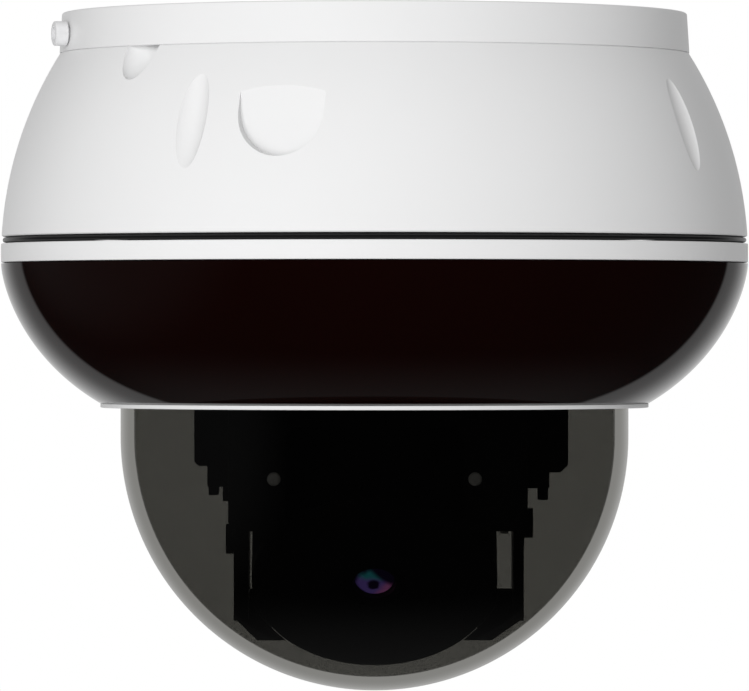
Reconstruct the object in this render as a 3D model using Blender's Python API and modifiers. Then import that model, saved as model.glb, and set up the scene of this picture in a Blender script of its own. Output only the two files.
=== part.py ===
"""Ceiling-hung pan-tilt dome camera.

Metres, +Z up. The origin is the middle of the flat face that lies against the ceiling, and the
camera hangs below it. The front is -Y. An azimuth of 0 is the front, and 90 is +X.
"""

from math import asin, cos, degrees, hypot, pi, radians, sin, sqrt

import bmesh
import bpy
from mathutils import Matrix, Vector

MM = 0.001
GAP = 0.3 * MM  # between pieces that touch
SCREW_CLEARANCE = 0.3 * MM  # round a screw's shank, on the radius

# Casing, from the ceiling down
BODY_R = 109.8 * MM
SHOULDER = 17.9 * MM  # from the base's radius out to the body's
BASE_DRAFT = 0.7 * MM
BASE_H = 11.7 * MM
HOUSING_H = 53.9 * MM
STRIPE_H = 1.9 * MM
BAND_H = 5.7 * MM
WINDOW_H = 41.1 * MM
DOME_RING_H = 1.2 * MM
CASING_WALL = 3.5 * MM
PLATE_T = 3.0 * MM  # base plate, housing deck and chassis plate
BULGE_DROP = 6.3 * MM  # the widest level lies this far below the housing's lower edge

# Dome
DOME_WALL = 4.0 * MM
DOME_NECK = 8.5 * MM  # straight part below the ring
DOME_LIP = 5.9 * MM  # from the dome to the window's lower edge

# Camera unit
TILT_DROP = 25.7 * MM  # the tilt axis lies below the dome's centre
DOME_CLEARANCE = 1.65 * MM  # from the drum's rim to the dome, at any tilt
DRUM_R = 35.9 * MM
FACE = 24.3 * MM  # from the tilt axis to the drum's face
REST_TILT = 45  # degrees below the horizon
LENS_R = 9.2 * MM
GEAR_MODULE = 1.5 * MM
PAN_TEETH, PAN_PINION_TEETH = 48, 12
TILT_MODULE = 0.75 * MM
TILT_TEETH, TILT_PINION_TEETH = 48, 12
SPINDLE_R = 10.0 * MM
SPINDLE_WALL = 2.4 * MM
AXLE_R = 1.6 * MM
ARM_T = 4.4 * MM
RIGHT_ARM_T = 3.1 * MM
TILT_GEAR_T = 2.4 * MM
FOOT_DROP = 34.6 * MM  # from the tilt axis to the arms' feet
SLOT_MARGIN = 10.1 * MM  # from the mask's slot out to the drum's radius

# Fasteners and openings
CABLE_HOLE_R = 11.0 * MM
CABLE_Y = 32.0 * MM
GLAND_R = 8.0 * MM
GLAND_BORE_R = 4.0 * MM
LOCK_HEAD_R = 3.6 * MM
LOCK_SHANK_R = 1.9 * MM
LOCK_AZIMUTH = -75
BOARD_R = 62.0 * MM
CHASSIS_SCREW_R = 1.5 * MM
MASK_SCREW_R = 1.0 * MM

# What follows from the sizes above
BASE_R = BODY_R - SHOULDER
SWEEP_R = hypot(FACE, DRUM_R)  # reach of the drum's rim round the tilt axis
DOME_IN_R = SWEEP_R + TILT_DROP + DOME_CLEARANCE
DOME_R = DOME_IN_R + DOME_WALL
BASE_Z = -BASE_H
HOUSING_Z = BASE_Z - HOUSING_H
STRIPE_Z = HOUSING_Z - STRIPE_H
BAND_Z = STRIPE_Z - BAND_H
WINDOW_Z = BAND_Z - WINDOW_H - GAP
RING_Z = WINDOW_Z - DOME_RING_H
DOME_Z = RING_Z - DOME_NECK
TILT_Z = DOME_Z - TILT_DROP
CHASSIS_Z = HOUSING_Z - STRIPE_H - 0.1 * MM  # upper face of the chassis plate
HUB_Z = RING_Z + 8.7 * MM  # upper face of the turntable's disc
DISC_T = 4.0 * MM
LOCK_Z = BASE_Z / 2 - 0.9 * MM

CASING_SIDES, ROUND_SIDES, SMALL_SIDES = 48, 24, 12
SMOOTH_BELOW = radians(35)

for old in list(bpy.data.objects):
    bpy.data.objects.remove(old, do_unlink=True)

PARTS = bpy.data.collections.new("dome_camera")
CUTTERS = bpy.data.collections.new("cutters")
bpy.context.scene.collection.children.link(PARTS)
bpy.context.scene.collection.children.link(CUTTERS)
CUTTERS.hide_render = True


# ---- shapes -----------------------------------------------------------------------------------


def add(name, mesh, collection=None):
    """An object for this mesh: a part when no collection is given, else a helper for Booleans."""
    obj = bpy.data.objects.new(name, mesh)
    if collection is None:
        PARTS.objects.link(obj)
    else:
        collection.objects.link(obj)
        obj.hide_render = True
        obj.display_type = "WIRE"
    return obj


def block(name, low, high, collection=None, bevel=0.0):
    low, high = Vector(low), Vector(high)
    bm = bmesh.new()
    bmesh.ops.create_cube(bm, size=1)
    size = high - low
    bm.transform(Matrix.Translation((low + high) / 2) @ Matrix.Diagonal((*size, 1)))
    mesh = bpy.data.meshes.new(name)
    bm.to_mesh(mesh)
    bm.free()
    obj = add(name, mesh, collection)
    if bevel:
        edge = obj.modifiers.new("rounded_edges", "BEVEL")
        edge.width = bevel
        edge.segments = 2
    return obj


def rod(name, radius, start, end, collection=None, sides=SMALL_SIDES, end_radius=None):
    start, end = Vector(start), Vector(end)
    along = end - start
    bm = bmesh.new()
    bmesh.ops.create_cone(
        bm,
        cap_ends=True,
        segments=sides,
        radius1=radius,
        radius2=radius if end_radius is None else end_radius,
        depth=along.length,
    )
    turn = along.to_track_quat("Z", "Y").to_matrix().to_4x4()
    bm.transform(Matrix.Translation((start + end) / 2) @ turn)
    mesh = bpy.data.meshes.new(name)
    bm.to_mesh(mesh)
    bm.free()
    return add(name, mesh, collection)


def ellipsoid(name, centre, half_sizes, turn, collection):
    bm = bmesh.new()
    bmesh.ops.create_uvsphere(bm, u_segments=14, v_segments=10, radius=1)
    bm.transform(Matrix.Translation(centre) @ turn @ Matrix.Diagonal((*half_sizes, 1)))
    mesh = bpy.data.meshes.new(name)
    bm.to_mesh(mesh)
    bm.free()
    return add(name, mesh, collection)


def turned(name, profile, sides=CASING_SIDES, collection=None, place=None):
    """A profile of (radius, height) points turned about Z. It closes on itself or on the axis."""
    points = list(profile)
    area = sum(a[0] * b[1] - b[0] * a[1] for a, b in zip(points, points[1:] + points[:1]))
    if area > 0:
        points.reverse()
    on_axis = points[0][0] == 0 and points[-1][0] == 0
    ends = len(points) - 1 if on_axis else len(points)
    edges = [(i, (i + 1) % len(points)) for i in range(ends)]
    mesh = bpy.data.meshes.new(name)
    mesh.from_pydata([(r, 0, z) for r, z in points], edges, [])
    obj = add(name, mesh, collection)
    screw = obj.modifiers.new("turn", "SCREW")
    screw.angle = 2 * pi
    screw.steps = sides
    screw.render_steps = sides
    screw.use_merge_vertices = True
    screw.merge_threshold = 0.00001
    if place:
        obj.matrix_world = place
    return obj


def evaluated_mesh(obj):
    bpy.context.view_layer.update()
    graph = bpy.context.evaluated_depsgraph_get()
    return bpy.data.meshes.new_from_object(obj.evaluated_get(graph), depsgraph=graph)


def outline(name, points, low, high, axis, collection=None):
    """A flat outline between two levels along an axis.

    Its points are (y, z) for X, (x, z) for Y and (x, y) for Z.
    """
    curve = bpy.data.curves.new(name, "CURVE")
    curve.dimensions = "2D"
    curve.fill_mode = "BOTH"
    curve.extrude = (high - low) / 2
    spline = curve.splines.new("POLY")
    spline.points.add(len(points) - 1)
    for point, (u, v) in zip(spline.points, points):
        point.co = (u, v, 0, 1)
    spline.use_cyclic_u = True
    guide = add(name + "_curve", curve, CUTTERS)
    mesh = evaluated_mesh(guide)
    bpy.data.objects.remove(guide)
    columns = {"X": ((0, 1, 0), (0, 0, 1), (1, 0, 0)), "Y": ((1, 0, 0), (0, 0, 1), (0, -1, 0))}
    turn = Matrix.Identity(4)
    if axis in columns:
        turn = Matrix(columns[axis]).transposed().to_4x4()
    middle = Vector([(low + high) / 2 if letter == axis else 0 for letter in "XYZ"])
    bm = bmesh.new()
    bm.from_mesh(mesh)
    bmesh.ops.remove_doubles(bm, verts=bm.verts, dist=0.000001)
    bm.transform(Matrix.Translation(middle) @ turn)
    bmesh.ops.recalc_face_normals(bm, faces=bm.faces)
    bm.to_mesh(mesh)
    bm.free()
    return add(name, mesh, collection)


def boolean(obj, operation, others):
    for other in others:
        step = obj.modifiers.new(other.name, "BOOLEAN")
        step.operation = operation
        step.solver = "EXACT"
        step.object = other


def cut(obj, *cutters):
    boolean(obj, "DIFFERENCE", cutters)


def join(obj, *pieces):
    boolean(obj, "UNION", pieces)


def around(radius, azimuth, z):
    angle = radians(azimuth)
    return Vector((radius * sin(angle), -radius * cos(angle), z))


def arc(centre, radius, first, last, steps):
    """Points on a circle, from one angle in degrees to another."""
    angles = [radians(first + (last - first) * i / steps) for i in range(steps + 1)]
    return [(centre[0] + radius * cos(a), centre[1] + radius * sin(a)) for a in angles]


def through(top, bottom_radius, level, lowest, steps):
    """An arc that starts at top and is upright at its widest point, down to the level lowest."""
    rise, spread = top[1] - level, bottom_radius - top[0]
    radius = (rise**2 + spread**2) / (2 * spread)
    centre = (bottom_radius - radius, level)
    first = degrees(asin(rise / radius))
    last = degrees(asin((lowest - level) / radius))
    return arc(centre, radius, first, last, steps)


def bezier(start, start_handle, end_handle, end, steps):
    points = [Vector(p) for p in (start, start_handle, end_handle, end)]
    found = []
    for i in range(steps + 1):
        t = i / steps
        weights = ((1 - t) ** 3, 3 * t * (1 - t) ** 2, 3 * t * t * (1 - t), t**3)
        found.append(tuple(sum((w * p for w, p in zip(weights, points)), Vector((0, 0)))))
    return found


def inset(points, distance):
    """The path moved inwards, for a path that runs down the outer side."""
    moved = []
    for i, (r, z) in enumerate(points):
        before, after = points[max(i - 1, 0)], points[min(i + 1, len(points) - 1)]
        along = Vector((after[0] - before[0], after[1] - before[1])).normalized()
        moved.append((r + along.y * distance, z - along.x * distance))
    return moved


def gear_outline(teeth, module, first=0, last=None):
    """Tooth points round a gear, as (angle, radius), for the teeth from first up to last."""
    pitch = 2 * pi / teeth
    root, tip = module * (teeth / 2 - 1.15), module * (teeth / 2 + 0.85)
    points = []
    for tooth in range(first, teeth if last is None else last):
        for share, radius in ((-0.30, root), (-0.12, tip), (0.12, tip), (0.30, root)):
            points.append(((tooth + share) * pitch, radius))
    return points


def polar(points, centre=(0, 0), turn=0.0):
    return [(centre[0] + r * cos(a + turn), centre[1] + r * sin(a + turn)) for a, r in points]


# ---- materials --------------------------------------------------------------------------------


def material(name, color, roughness, metallic=0.0, alpha=1.0):
    made = bpy.data.materials.new(name)
    made.use_nodes = True
    shader = made.node_tree.nodes["Principled BSDF"]
    shader.inputs["Base Color"].default_value = (*color, 1)
    shader.inputs["Roughness"].default_value = roughness
    shader.inputs["Metallic"].default_value = metallic
    shader.inputs["Alpha"].default_value = alpha
    made.diffuse_color = (*color, alpha)
    return made


WHITE_PAINT = material("white_paint", (0.80, 0.80, 0.80), 0.45)
BLACK_RUBBER = material("black_rubber", (0.012, 0.012, 0.013), 0.6)
DARK_WINDOW = material("dark_red_window", (0.012, 0.002, 0.001), 0.06)
SMOKED_CLEAR = material("smoked_clear", (0.19, 0.19, 0.17), 0.03, alpha=0.35)
BLACK_PLASTIC = material("black_plastic", (0.010, 0.010, 0.011), 0.5)
CLEAR_GLASS = material("coated_glass", (0.10, 0.06, 0.22), 0.02)
STEEL = material("steel", (0.55, 0.55, 0.56), 0.32, metallic=1.0)
ALUMINIUM = material("aluminium", (0.62, 0.63, 0.64), 0.4, metallic=1.0)
BOARD_GREEN = material("board_green", (0.02, 0.14, 0.06), 0.5)
WHITE_ACETAL = material("white_acetal", (0.72, 0.71, 0.67), 0.4)
BRASS = material("brass", (0.60, 0.44, 0.20), 0.3, metallic=1.0)


def paint(finish, *objects):
    for obj in objects:
        obj.data.materials.append(finish)


# ---- casing -----------------------------------------------------------------------------------


def make_mounting_base():
    edge = 0.5 * MM
    wall = 3.6 * MM
    low_r = BASE_R + BASE_DRAFT
    base = turned(
        "mounting_base",
        [
            (0, 0),
            (BASE_R - edge, 0),
            (BASE_R, -edge),
            (low_r, BASE_Z + GAP + edge),
            (low_r - edge, BASE_Z + GAP),
            (BASE_R - wall, BASE_Z + GAP),
            (BASE_R - wall, -PLATE_T),
            (0, -PLATE_T),
        ],
    )
    beyond = 2 * MM
    holes = [
        rod("cable_hole", CABLE_HOLE_R, (0, CABLE_Y, -PLATE_T - beyond), (0, CABLE_Y, beyond),
            CUTTERS, ROUND_SIDES),
        rod("lock_hole", LOCK_SHANK_R + SCREW_CLEARANCE,
            around(BASE_R - wall - beyond, LOCK_AZIMUTH, LOCK_Z),
            around(BASE_R + beyond, LOCK_AZIMUTH, LOCK_Z), CUTTERS),
    ]
    fixing_r, fixing_circle = 2.6 * MM, BASE_R - 22.1 * MM
    for number, azimuth in enumerate((60, 180, 300), start=1):
        x, y, _ = around(fixing_circle, azimuth, 0)
        holes.append(rod(f"fixing_hole_{number}", fixing_r, (x, y, -PLATE_T - beyond),
                         (x, y, beyond), CUTTERS))
    cut(base, *holes)
    paint(WHITE_PAINT, base)


def make_lock_screw():
    """A socket-head screw through the base's ring, whose tip reaches the housing's neck."""
    surface = BASE_R + BASE_DRAFT
    head_in, head_out = surface + 0.2 * MM, surface + 4.1 * MM
    socket_r, socket_depth = 2.3 * MM, 2.2 * MM
    tip = BASE_R - 5.0 * MM
    screw = rod("lock_screw", LOCK_HEAD_R, around(head_in, LOCK_AZIMUTH, LOCK_Z),
                around(head_out, LOCK_AZIMUTH, LOCK_Z), sides=24)
    shank = rod("lock_shank", LOCK_SHANK_R, around(tip, LOCK_AZIMUTH, LOCK_Z),
                around(head_in + 1 * MM, LOCK_AZIMUTH, LOCK_Z), CUTTERS)
    socket = rod("lock_socket", socket_r, around(head_out - socket_depth, LOCK_AZIMUTH, LOCK_Z),
                 around(head_out + 1 * MM, LOCK_AZIMUTH, LOCK_Z), CUTTERS, sides=6)
    join(screw, shank)
    cut(screw, socket)
    paint(STEEL, screw)


HOUSING_TOP = (BASE_R + BASE_DRAFT, BASE_Z - 0.4 * MM)
WIDEST_Z = HOUSING_Z - BULGE_DROP
FLANGE_IN_R = BODY_R - 17.8 * MM
SCREW_CIRCLE = BODY_R - 12.8 * MM


def housing_arc(wall, lowest, steps):
    top = (HOUSING_TOP[0] - wall, HOUSING_TOP[1])
    return through(top, BODY_R - wall, WIDEST_Z, lowest, steps)


def housing_radius(z):
    """The housing's outer radius at a level."""
    return housing_arc(0, z, 1)[-1][0]


def make_upper_housing():
    neck_r = BASE_R - 5.7 * MM
    neck_wall, neck_rise = 4.0 * MM, 5.2 * MM
    edge = 0.3 * MM
    outer = housing_arc(0, HOUSING_Z + edge, 6)
    housing = turned(
        "upper_housing",
        [(0, BASE_Z), (neck_r - neck_wall, BASE_Z), (neck_r - neck_wall, BASE_Z + neck_rise),
         (neck_r, BASE_Z + neck_rise), (neck_r, BASE_Z), (HOUSING_TOP[0] - 0.4 * MM, BASE_Z)]
        + outer
        + [(outer[-1][0] - edge, HOUSING_Z), (0, HOUSING_Z)],
    )
    flange_t = 4.4 * MM
    inner = housing_arc(CASING_WALL, HOUSING_Z + flange_t, 4)[1:]
    cavity = turned(
        "housing_cavity",
        [(0, BASE_Z - PLATE_T), (inner[0][0] - 4 * MM, BASE_Z - PLATE_T)]
        + inner
        + [(FLANGE_IN_R, HOUSING_Z + flange_t), (FLANGE_IN_R, HOUSING_Z - 1 * MM),
           (0, HOUSING_Z - 1 * MM)],
        collection=CUTTERS,
    )
    pad, pad_backing = make_pad_cutters()
    scallop, scallop_backing = make_top_scallop_cutters()
    cut(cavity, pad_backing, scallop_backing)
    cut(housing, cavity, pad, scallop)
    cut(housing, *make_leaf_cutters())
    notch_z = BASE_Z - 19.5 * MM
    notch = rod("notch", 1.5 * MM, around(housing_radius(notch_z) - 2 * MM, 88, notch_z),
                around(housing_radius(notch_z) + 4 * MM, 88, notch_z), CUTTERS)
    gland_hole = rod("gland_hole", GLAND_R + GAP, (0, CABLE_Y, BASE_Z - PLATE_T - 2 * MM),
                     (0, CABLE_Y, BASE_Z + 2 * MM), CUTTERS, ROUND_SIDES)
    holes = [
        rod(f"flange_hole_{azimuth}", CHASSIS_SCREW_R + SCREW_CLEARANCE,
            around(SCREW_CIRCLE, azimuth, HOUSING_Z - 1 * MM),
            around(SCREW_CIRCLE, azimuth, HOUSING_Z + flange_t + 2 * MM), CUTTERS)
        for azimuth in CHASSIS_SCREW_AZIMUTHS
    ]
    cut(housing, notch, gland_hole, *holes)
    paint(WHITE_PAINT, housing)


CHASSIS_SCREW_AZIMUTHS = (45, 135, 225, 315)


def make_pad_cutters():
    """The flat, shield-shaped recess at the front: its cutter, and the wall left behind it."""
    azimuth, half, rise = -15, 12.5 * MM, 12.4 * MM
    top_z = BASE_Z - rise
    distance = housing_radius(top_z)  # of the flat from the axis: it fades out at its upper edge
    round_z = top_z - 7.6 * MM
    points = [(half, top_z + 3 * MM), (-half, top_z + 3 * MM)]
    points += arc((0, round_z), half, 180, 360, 14)
    depth = 20 * MM
    pad = outline("pad", points, -distance - depth, -distance, "Y", CUTTERS)
    backing = block("pad_backing", (-half - 3 * MM, -distance - depth, round_z - half - 3 * MM),
                    (half + 3 * MM, -distance + CASING_WALL, top_z + 4 * MM), CUTTERS)
    for obj in (pad, backing):
        obj.matrix_world = Matrix.Rotation(radians(azimuth), 4, "Z")
    return pad, backing


def surface_turn(azimuth, upper_z, lower_z):
    """Turns X to the tangent, Y outwards and Z up along the housing between two levels."""
    upper = around(housing_radius(upper_z), azimuth, upper_z)
    lower = around(housing_radius(lower_z), azimuth, lower_z)
    up = (upper - lower).normalized()
    side = around(1, azimuth - 90, 0)
    out = up.cross(side)
    return Matrix((side, out, up)).transposed().to_4x4()


def make_leaf_cutters():
    """Four leaf-shaped finger scallops, a quarter turn apart."""
    upper_z, lower_z = BASE_Z - 9.3 * MM, BASE_Z - 34.9 * MM
    half_width, depth = 4.75 * MM, 2.4 * MM
    middle_z = (upper_z + lower_z) / 2
    half_length = (upper_z - lower_z) / 2 * 1.35
    radius = (half_width**2 + depth**2) / (2 * depth)
    cutters = []
    for azimuth in (-30, 60, 150, 240):
        turn = surface_turn(azimuth, upper_z, lower_z)
        out = turn.to_3x3() @ Vector((0, 1, 0))
        surface = around(housing_radius(middle_z), azimuth, middle_z)
        # The scoop is part of a long ellipsoid whose middle lies outside the surface.
        stretch = radius / half_width
        cutters.append(
            ellipsoid(f"leaf_{azimuth % 360}", surface - out * (-radius + depth),
                      (radius, radius, half_length * stretch), turn, CUTTERS)
        )
    return cutters


def make_top_scallop_cutters():
    """The deeper scallop that runs out under the base's ring, and the wall left behind it."""
    azimuth, half_width, depth = -45.5, 6.5 * MM, 5.2 * MM
    tip_z = BASE_Z - 10.0 * MM
    turn = surface_turn(azimuth, BASE_Z - 1 * MM, tip_z)
    centre = around(housing_radius(BASE_Z - 1 * MM), azimuth, BASE_Z)
    length = (BASE_Z - tip_z) * 1.12
    scallop = ellipsoid("top_scallop", centre, (half_width, depth, length), turn, CUTTERS)
    backing = ellipsoid(
        "top_scallop_backing", centre,
        (half_width + CASING_WALL, depth + CASING_WALL, length + CASING_WALL), turn, CUTTERS,
    )
    return scallop, backing


def ring(name, inner, outer, top, bottom, finish, sides=CASING_SIDES, collection=None):
    made = turned(name, [(outer, top), (outer, bottom), (inner, bottom), (inner, top)],
                  sides, collection)
    if finish:
        paint(finish, made)
    return made


def make_stripe_and_band():
    ring("gasket_stripe", BODY_R - 8.8 * MM, BODY_R - 0.4 * MM, HOUSING_Z - GAP,
         STRIPE_Z + GAP / 2, BLACK_RUBBER)
    ring("trim_band", BODY_R - 6.2 * MM, BODY_R, STRIPE_Z - GAP / 2, BAND_Z, WHITE_PAINT)


WINDOW_LIP_R = DOME_R + DOME_LIP
LIP_IN_R = DOME_R + 1.9 * MM


def make_ir_window():
    """The bowl that the infrared light passes through."""
    top_z = BAND_Z - GAP
    upper_handle, lower_handle = 0.115 * WINDOW_H, 0.967 * (BODY_R - WINDOW_LIP_R)
    lip_angle = radians(30.4)
    outer = bezier(
        (BODY_R, top_z),
        (BODY_R, top_z - upper_handle),
        (WINDOW_LIP_R + lower_handle * cos(lip_angle), WINDOW_Z + lower_handle * sin(lip_angle)),
        (WINDOW_LIP_R, WINDOW_Z),
        8,
    )
    wall = 3.0 * MM
    lip_h, flange_t = 3.0 * MM, 3.0 * MM
    inner = [p for p in inset(outer, wall) if WINDOW_Z + lip_h + MM < p[1] < top_z - flange_t]
    window = turned(
        "ir_window",
        outer
        + [(LIP_IN_R, WINDOW_Z), (LIP_IN_R, WINDOW_Z + lip_h),
           (DOME_FLANGE_R + 1.2 * MM, WINDOW_Z + lip_h)]
        + inner[::-1]
        + [(BODY_R - wall, top_z - flange_t), (BODY_R - 2 * wall, top_z - flange_t),
           (BODY_R - 2 * wall, top_z)],
    )
    paint(DARK_WINDOW, window)


DOME_FLANGE_R = DOME_R + 3.9 * MM
DOME_FLANGE_Z = WINDOW_Z + 5.4 * MM  # underside of the dome's flange


def make_dome_ring():
    """The thin ring under the bowl, with a collar that rises between it and the dome."""
    inner = DOME_R + GAP
    collar = LIP_IN_R - GAP
    top = WINDOW_Z - GAP
    edge = 0.25 * MM
    ring_piece = turned(
        "dome_ring",
        [(WINDOW_LIP_R, top), (WINDOW_LIP_R, RING_Z + edge), (WINDOW_LIP_R - edge, RING_Z),
         (inner, RING_Z), (inner, WINDOW_Z + 3.4 * MM), (collar, WINDOW_Z + 3.4 * MM),
         (collar, top)],
    )
    paint(WHITE_PAINT, ring_piece)
    ring("dome_seal", inner, DOME_FLANGE_R, DOME_FLANGE_Z - GAP, WINDOW_Z + 3.7 * MM,
         BLACK_RUBBER)


def make_dome_bubble():
    flange_t = 2.6 * MM
    top = DOME_FLANGE_Z + flange_t
    steps = 8
    outer = arc((0, DOME_Z), DOME_R, 0, -90, steps)
    inner = arc((0, DOME_Z), DOME_IN_R, -90, 0, steps)
    outer[-1] = (0, DOME_Z - DOME_R)
    inner[0] = (0, DOME_Z - DOME_IN_R)
    bubble = turned(
        "dome_bubble",
        inner + [(DOME_IN_R, top), (DOME_FLANGE_R, top), (DOME_FLANGE_R, DOME_FLANGE_Z),
                 (DOME_R, DOME_FLANGE_Z)] + outer,
        sides=40,
    )
    paint(SMOKED_CLEAR, bubble)


# ---- what the casing holds --------------------------------------------------------------------

CHASSIS_LOW = CHASSIS_Z - PLATE_T
SLIP_RING_R = SPINDLE_R - SPINDLE_WALL - GAP
MOTOR_X = GEAR_MODULE * (PAN_TEETH + PAN_PINION_TEETH) / 2


def make_chassis():
    plate = turned("chassis_plate", [(0, CHASSIS_Z), (BODY_R - 6.8 * MM, CHASSIS_Z),
                                     (BODY_R - 6.8 * MM, CHASSIS_LOW), (0, CHASSIS_LOW)])
    above, below = CHASSIS_Z + 2 * MM, CHASSIS_LOW - 2 * MM
    holes = [rod("slip_ring_hole", SLIP_RING_R + 2 * MM, (0, 0, below), (0, 0, above),
                 CUTTERS, ROUND_SIDES)]
    head_r, head_h = 2.9 * MM, 2.0 * MM
    for number, azimuth in enumerate(CHASSIS_SCREW_AZIMUTHS, start=1):
        holes.append(rod(f"chassis_hole_{number}", CHASSIS_SCREW_R + SCREW_CLEARANCE,
                         around(SCREW_CIRCLE, azimuth, below),
                         around(SCREW_CIRCLE, azimuth, above), CUTTERS))
        screw = rod(f"chassis_screw_{number}", head_r,
                    around(SCREW_CIRCLE, azimuth, CHASSIS_LOW - GAP - head_h),
                    around(SCREW_CIRCLE, azimuth, CHASSIS_LOW - GAP))
        shank = rod(f"chassis_shank_{number}", CHASSIS_SCREW_R,
                    around(SCREW_CIRCLE, azimuth, CHASSIS_LOW - 1 * MM),
                    around(SCREW_CIRCLE, azimuth, HOUSING_Z + 4.0 * MM), CUTTERS, sides=12)
        join(screw, shank)
        paint(STEEL, screw)
    for side in (-1, 1):
        holes.append(rod(f"wire_hole_{side + 2}", 8 * MM, (side * 55 * MM, 40 * MM, below),
                         (side * 55 * MM, 40 * MM, above), CUTTERS, ROUND_SIDES))
    cut(plate, *holes)
    paint(ALUMINIUM, plate)


def make_main_board():
    top, thick = CHASSIS_Z + 18.0 * MM, 1.6 * MM
    board = rod("main_board", BOARD_R, (0, 0, top - thick), (0, 0, top), sides=24)
    parts = [
        ("network_socket", (-50, -8), (-34, 8), 13.0),
        ("power_coil", (20, -14), (38, 4), 9.0),
        ("processor_sink", (-14, -44), (10, -20), 6.0),
        ("capacitor_bank", (-12, 14), (16, 24), 8.0),
    ]
    for name, low, high, height in parts:
        join(board, block(name, (low[0] * MM, low[1] * MM, top - 0.8 * MM),
                          (high[0] * MM, high[1] * MM, top + height * MM), CUTTERS))
    paint(BOARD_GREEN, board)
    for number, azimuth in enumerate((30, 150, 270), start=1):
        post = rod(f"board_post_{number}", 3 * MM,
                   around(BOARD_R - 8 * MM, azimuth, CHASSIS_Z + GAP),
                   around(BOARD_R - 8 * MM, azimuth, top - thick - GAP), sides=6)
        paint(BRASS, post)


def make_cable_gland():
    deck_low = BASE_Z - PLATE_T
    top = BASE_Z + 6.5 * MM
    place = Matrix.Translation((0, CABLE_Y, 0))
    low = deck_low - 8.0 * MM
    gland = turned(
        "cable_gland",
        [(GLAND_R - 1.5 * MM, top), (GLAND_R + 2.5 * MM, top - 3.5 * MM),
         (GLAND_R + 2.5 * MM, BASE_Z + GAP), (GLAND_R, BASE_Z + GAP), (GLAND_R, low),
         (GLAND_BORE_R, low), (GLAND_BORE_R, top)],
        sides=ROUND_SIDES, place=place,
    )
    paint(BLACK_PLASTIC, gland)
    nut = rod("gland_nut", GLAND_R + 4.5 * MM, (0, CABLE_Y, deck_low - GAP - 4.5 * MM),
              (0, CABLE_Y, deck_low - GAP), sides=6)
    cut(nut, rod("gland_nut_hole", GLAND_R + GAP, (0, CABLE_Y, deck_low - 8 * MM),
                 (0, CABLE_Y, deck_low + 2 * MM), CUTTERS, ROUND_SIDES))
    paint(BLACK_PLASTIC, nut)


def make_ir_unit():
    """The infrared board, which hangs on posts, and the ring of lenses under it."""
    top = CHASSIS_LOW - 9.0 * MM
    inner, outer = BODY_R - 25.8 * MM, BODY_R - 11.8 * MM
    thick = 1.6 * MM
    ring("ir_board", inner, outer, top, top - thick, BOARD_GREEN, 40)
    lens_top = top - thick - GAP
    lens_low = lens_top - 2.5 * MM
    carrier = ring("ir_lens_ring", inner + 2 * MM, outer - 2 * MM, lens_top, lens_low,
                   BLACK_PLASTIC, 40)
    count, lens_r = 12, 3.2 * MM
    for number in range(count):
        azimuth = 360 * (number + 0.5) / count
        centre = around((inner + outer) / 2, azimuth, 0)
        join(carrier, rod(f"ir_lens_{number}", lens_r, centre + Vector((0, 0, lens_low + 1 * MM)),
                          centre + Vector((0, 0, lens_low - 1.8 * MM)), CUTTERS, sides=8,
                          end_radius=0.6 * lens_r))
    for number, azimuth in enumerate((0, 120, 240), start=1):
        middle = (inner + outer) / 2
        post = rod(f"ir_post_{number}", 2.5 * MM, around(middle, azimuth, top + GAP),
                   around(middle, azimuth, CHASSIS_LOW - GAP), sides=6)
        paint(BRASS, post)


BEARING_R = SPINDLE_R + 4.7 * MM
BEARING_Z = CHASSIS_LOW - 13.0 * MM


def make_pan_hub():
    """The fixed tube that the unit turns in, its bearing, and the slip ring's fixed half."""
    inner, outer = BEARING_R + GAP, BEARING_R + 5.3 * MM
    top = CHASSIS_LOW - GAP
    housing = turned(
        "bearing_housing",
        [(outer + 8 * MM, top), (outer + 8 * MM, top - 3 * MM), (outer, top - 3 * MM),
         (outer, HUB_Z + 3 * MM), (inner, HUB_Z + 3 * MM), (inner, top)],
        sides=ROUND_SIDES,
    )
    paint(ALUMINIUM, housing)
    ring("pan_bearing", SPINDLE_R + GAP, BEARING_R, BEARING_Z, BEARING_Z - 8 * MM, STEEL,
         ROUND_SIDES)
    stator = turned(
        "slip_ring_stator",
        [(0, CHASSIS_Z + 7 * MM), (SLIP_RING_R + 5 * MM, CHASSIS_Z + 7 * MM),
         (SLIP_RING_R + 5 * MM, CHASSIS_Z + GAP), (SLIP_RING_R, CHASSIS_Z + GAP),
         (SLIP_RING_R, HUB_Z + 12 * MM), (0, HUB_Z + 12 * MM)],
        sides=ROUND_SIDES,
    )
    paint(BLACK_PLASTIC, stator)


def make_pan_motor():
    half = 14 * MM
    top = CHASSIS_LOW - GAP
    low = HUB_Z + 10.5 * MM
    motor = block("pan_motor", (MOTOR_X - half, -half, low), (MOTOR_X + half, half, top),
                  bevel=2 * MM)
    paint(STEEL, motor)
    return low


# ---- the unit that pans -----------------------------------------------------------------------

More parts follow.
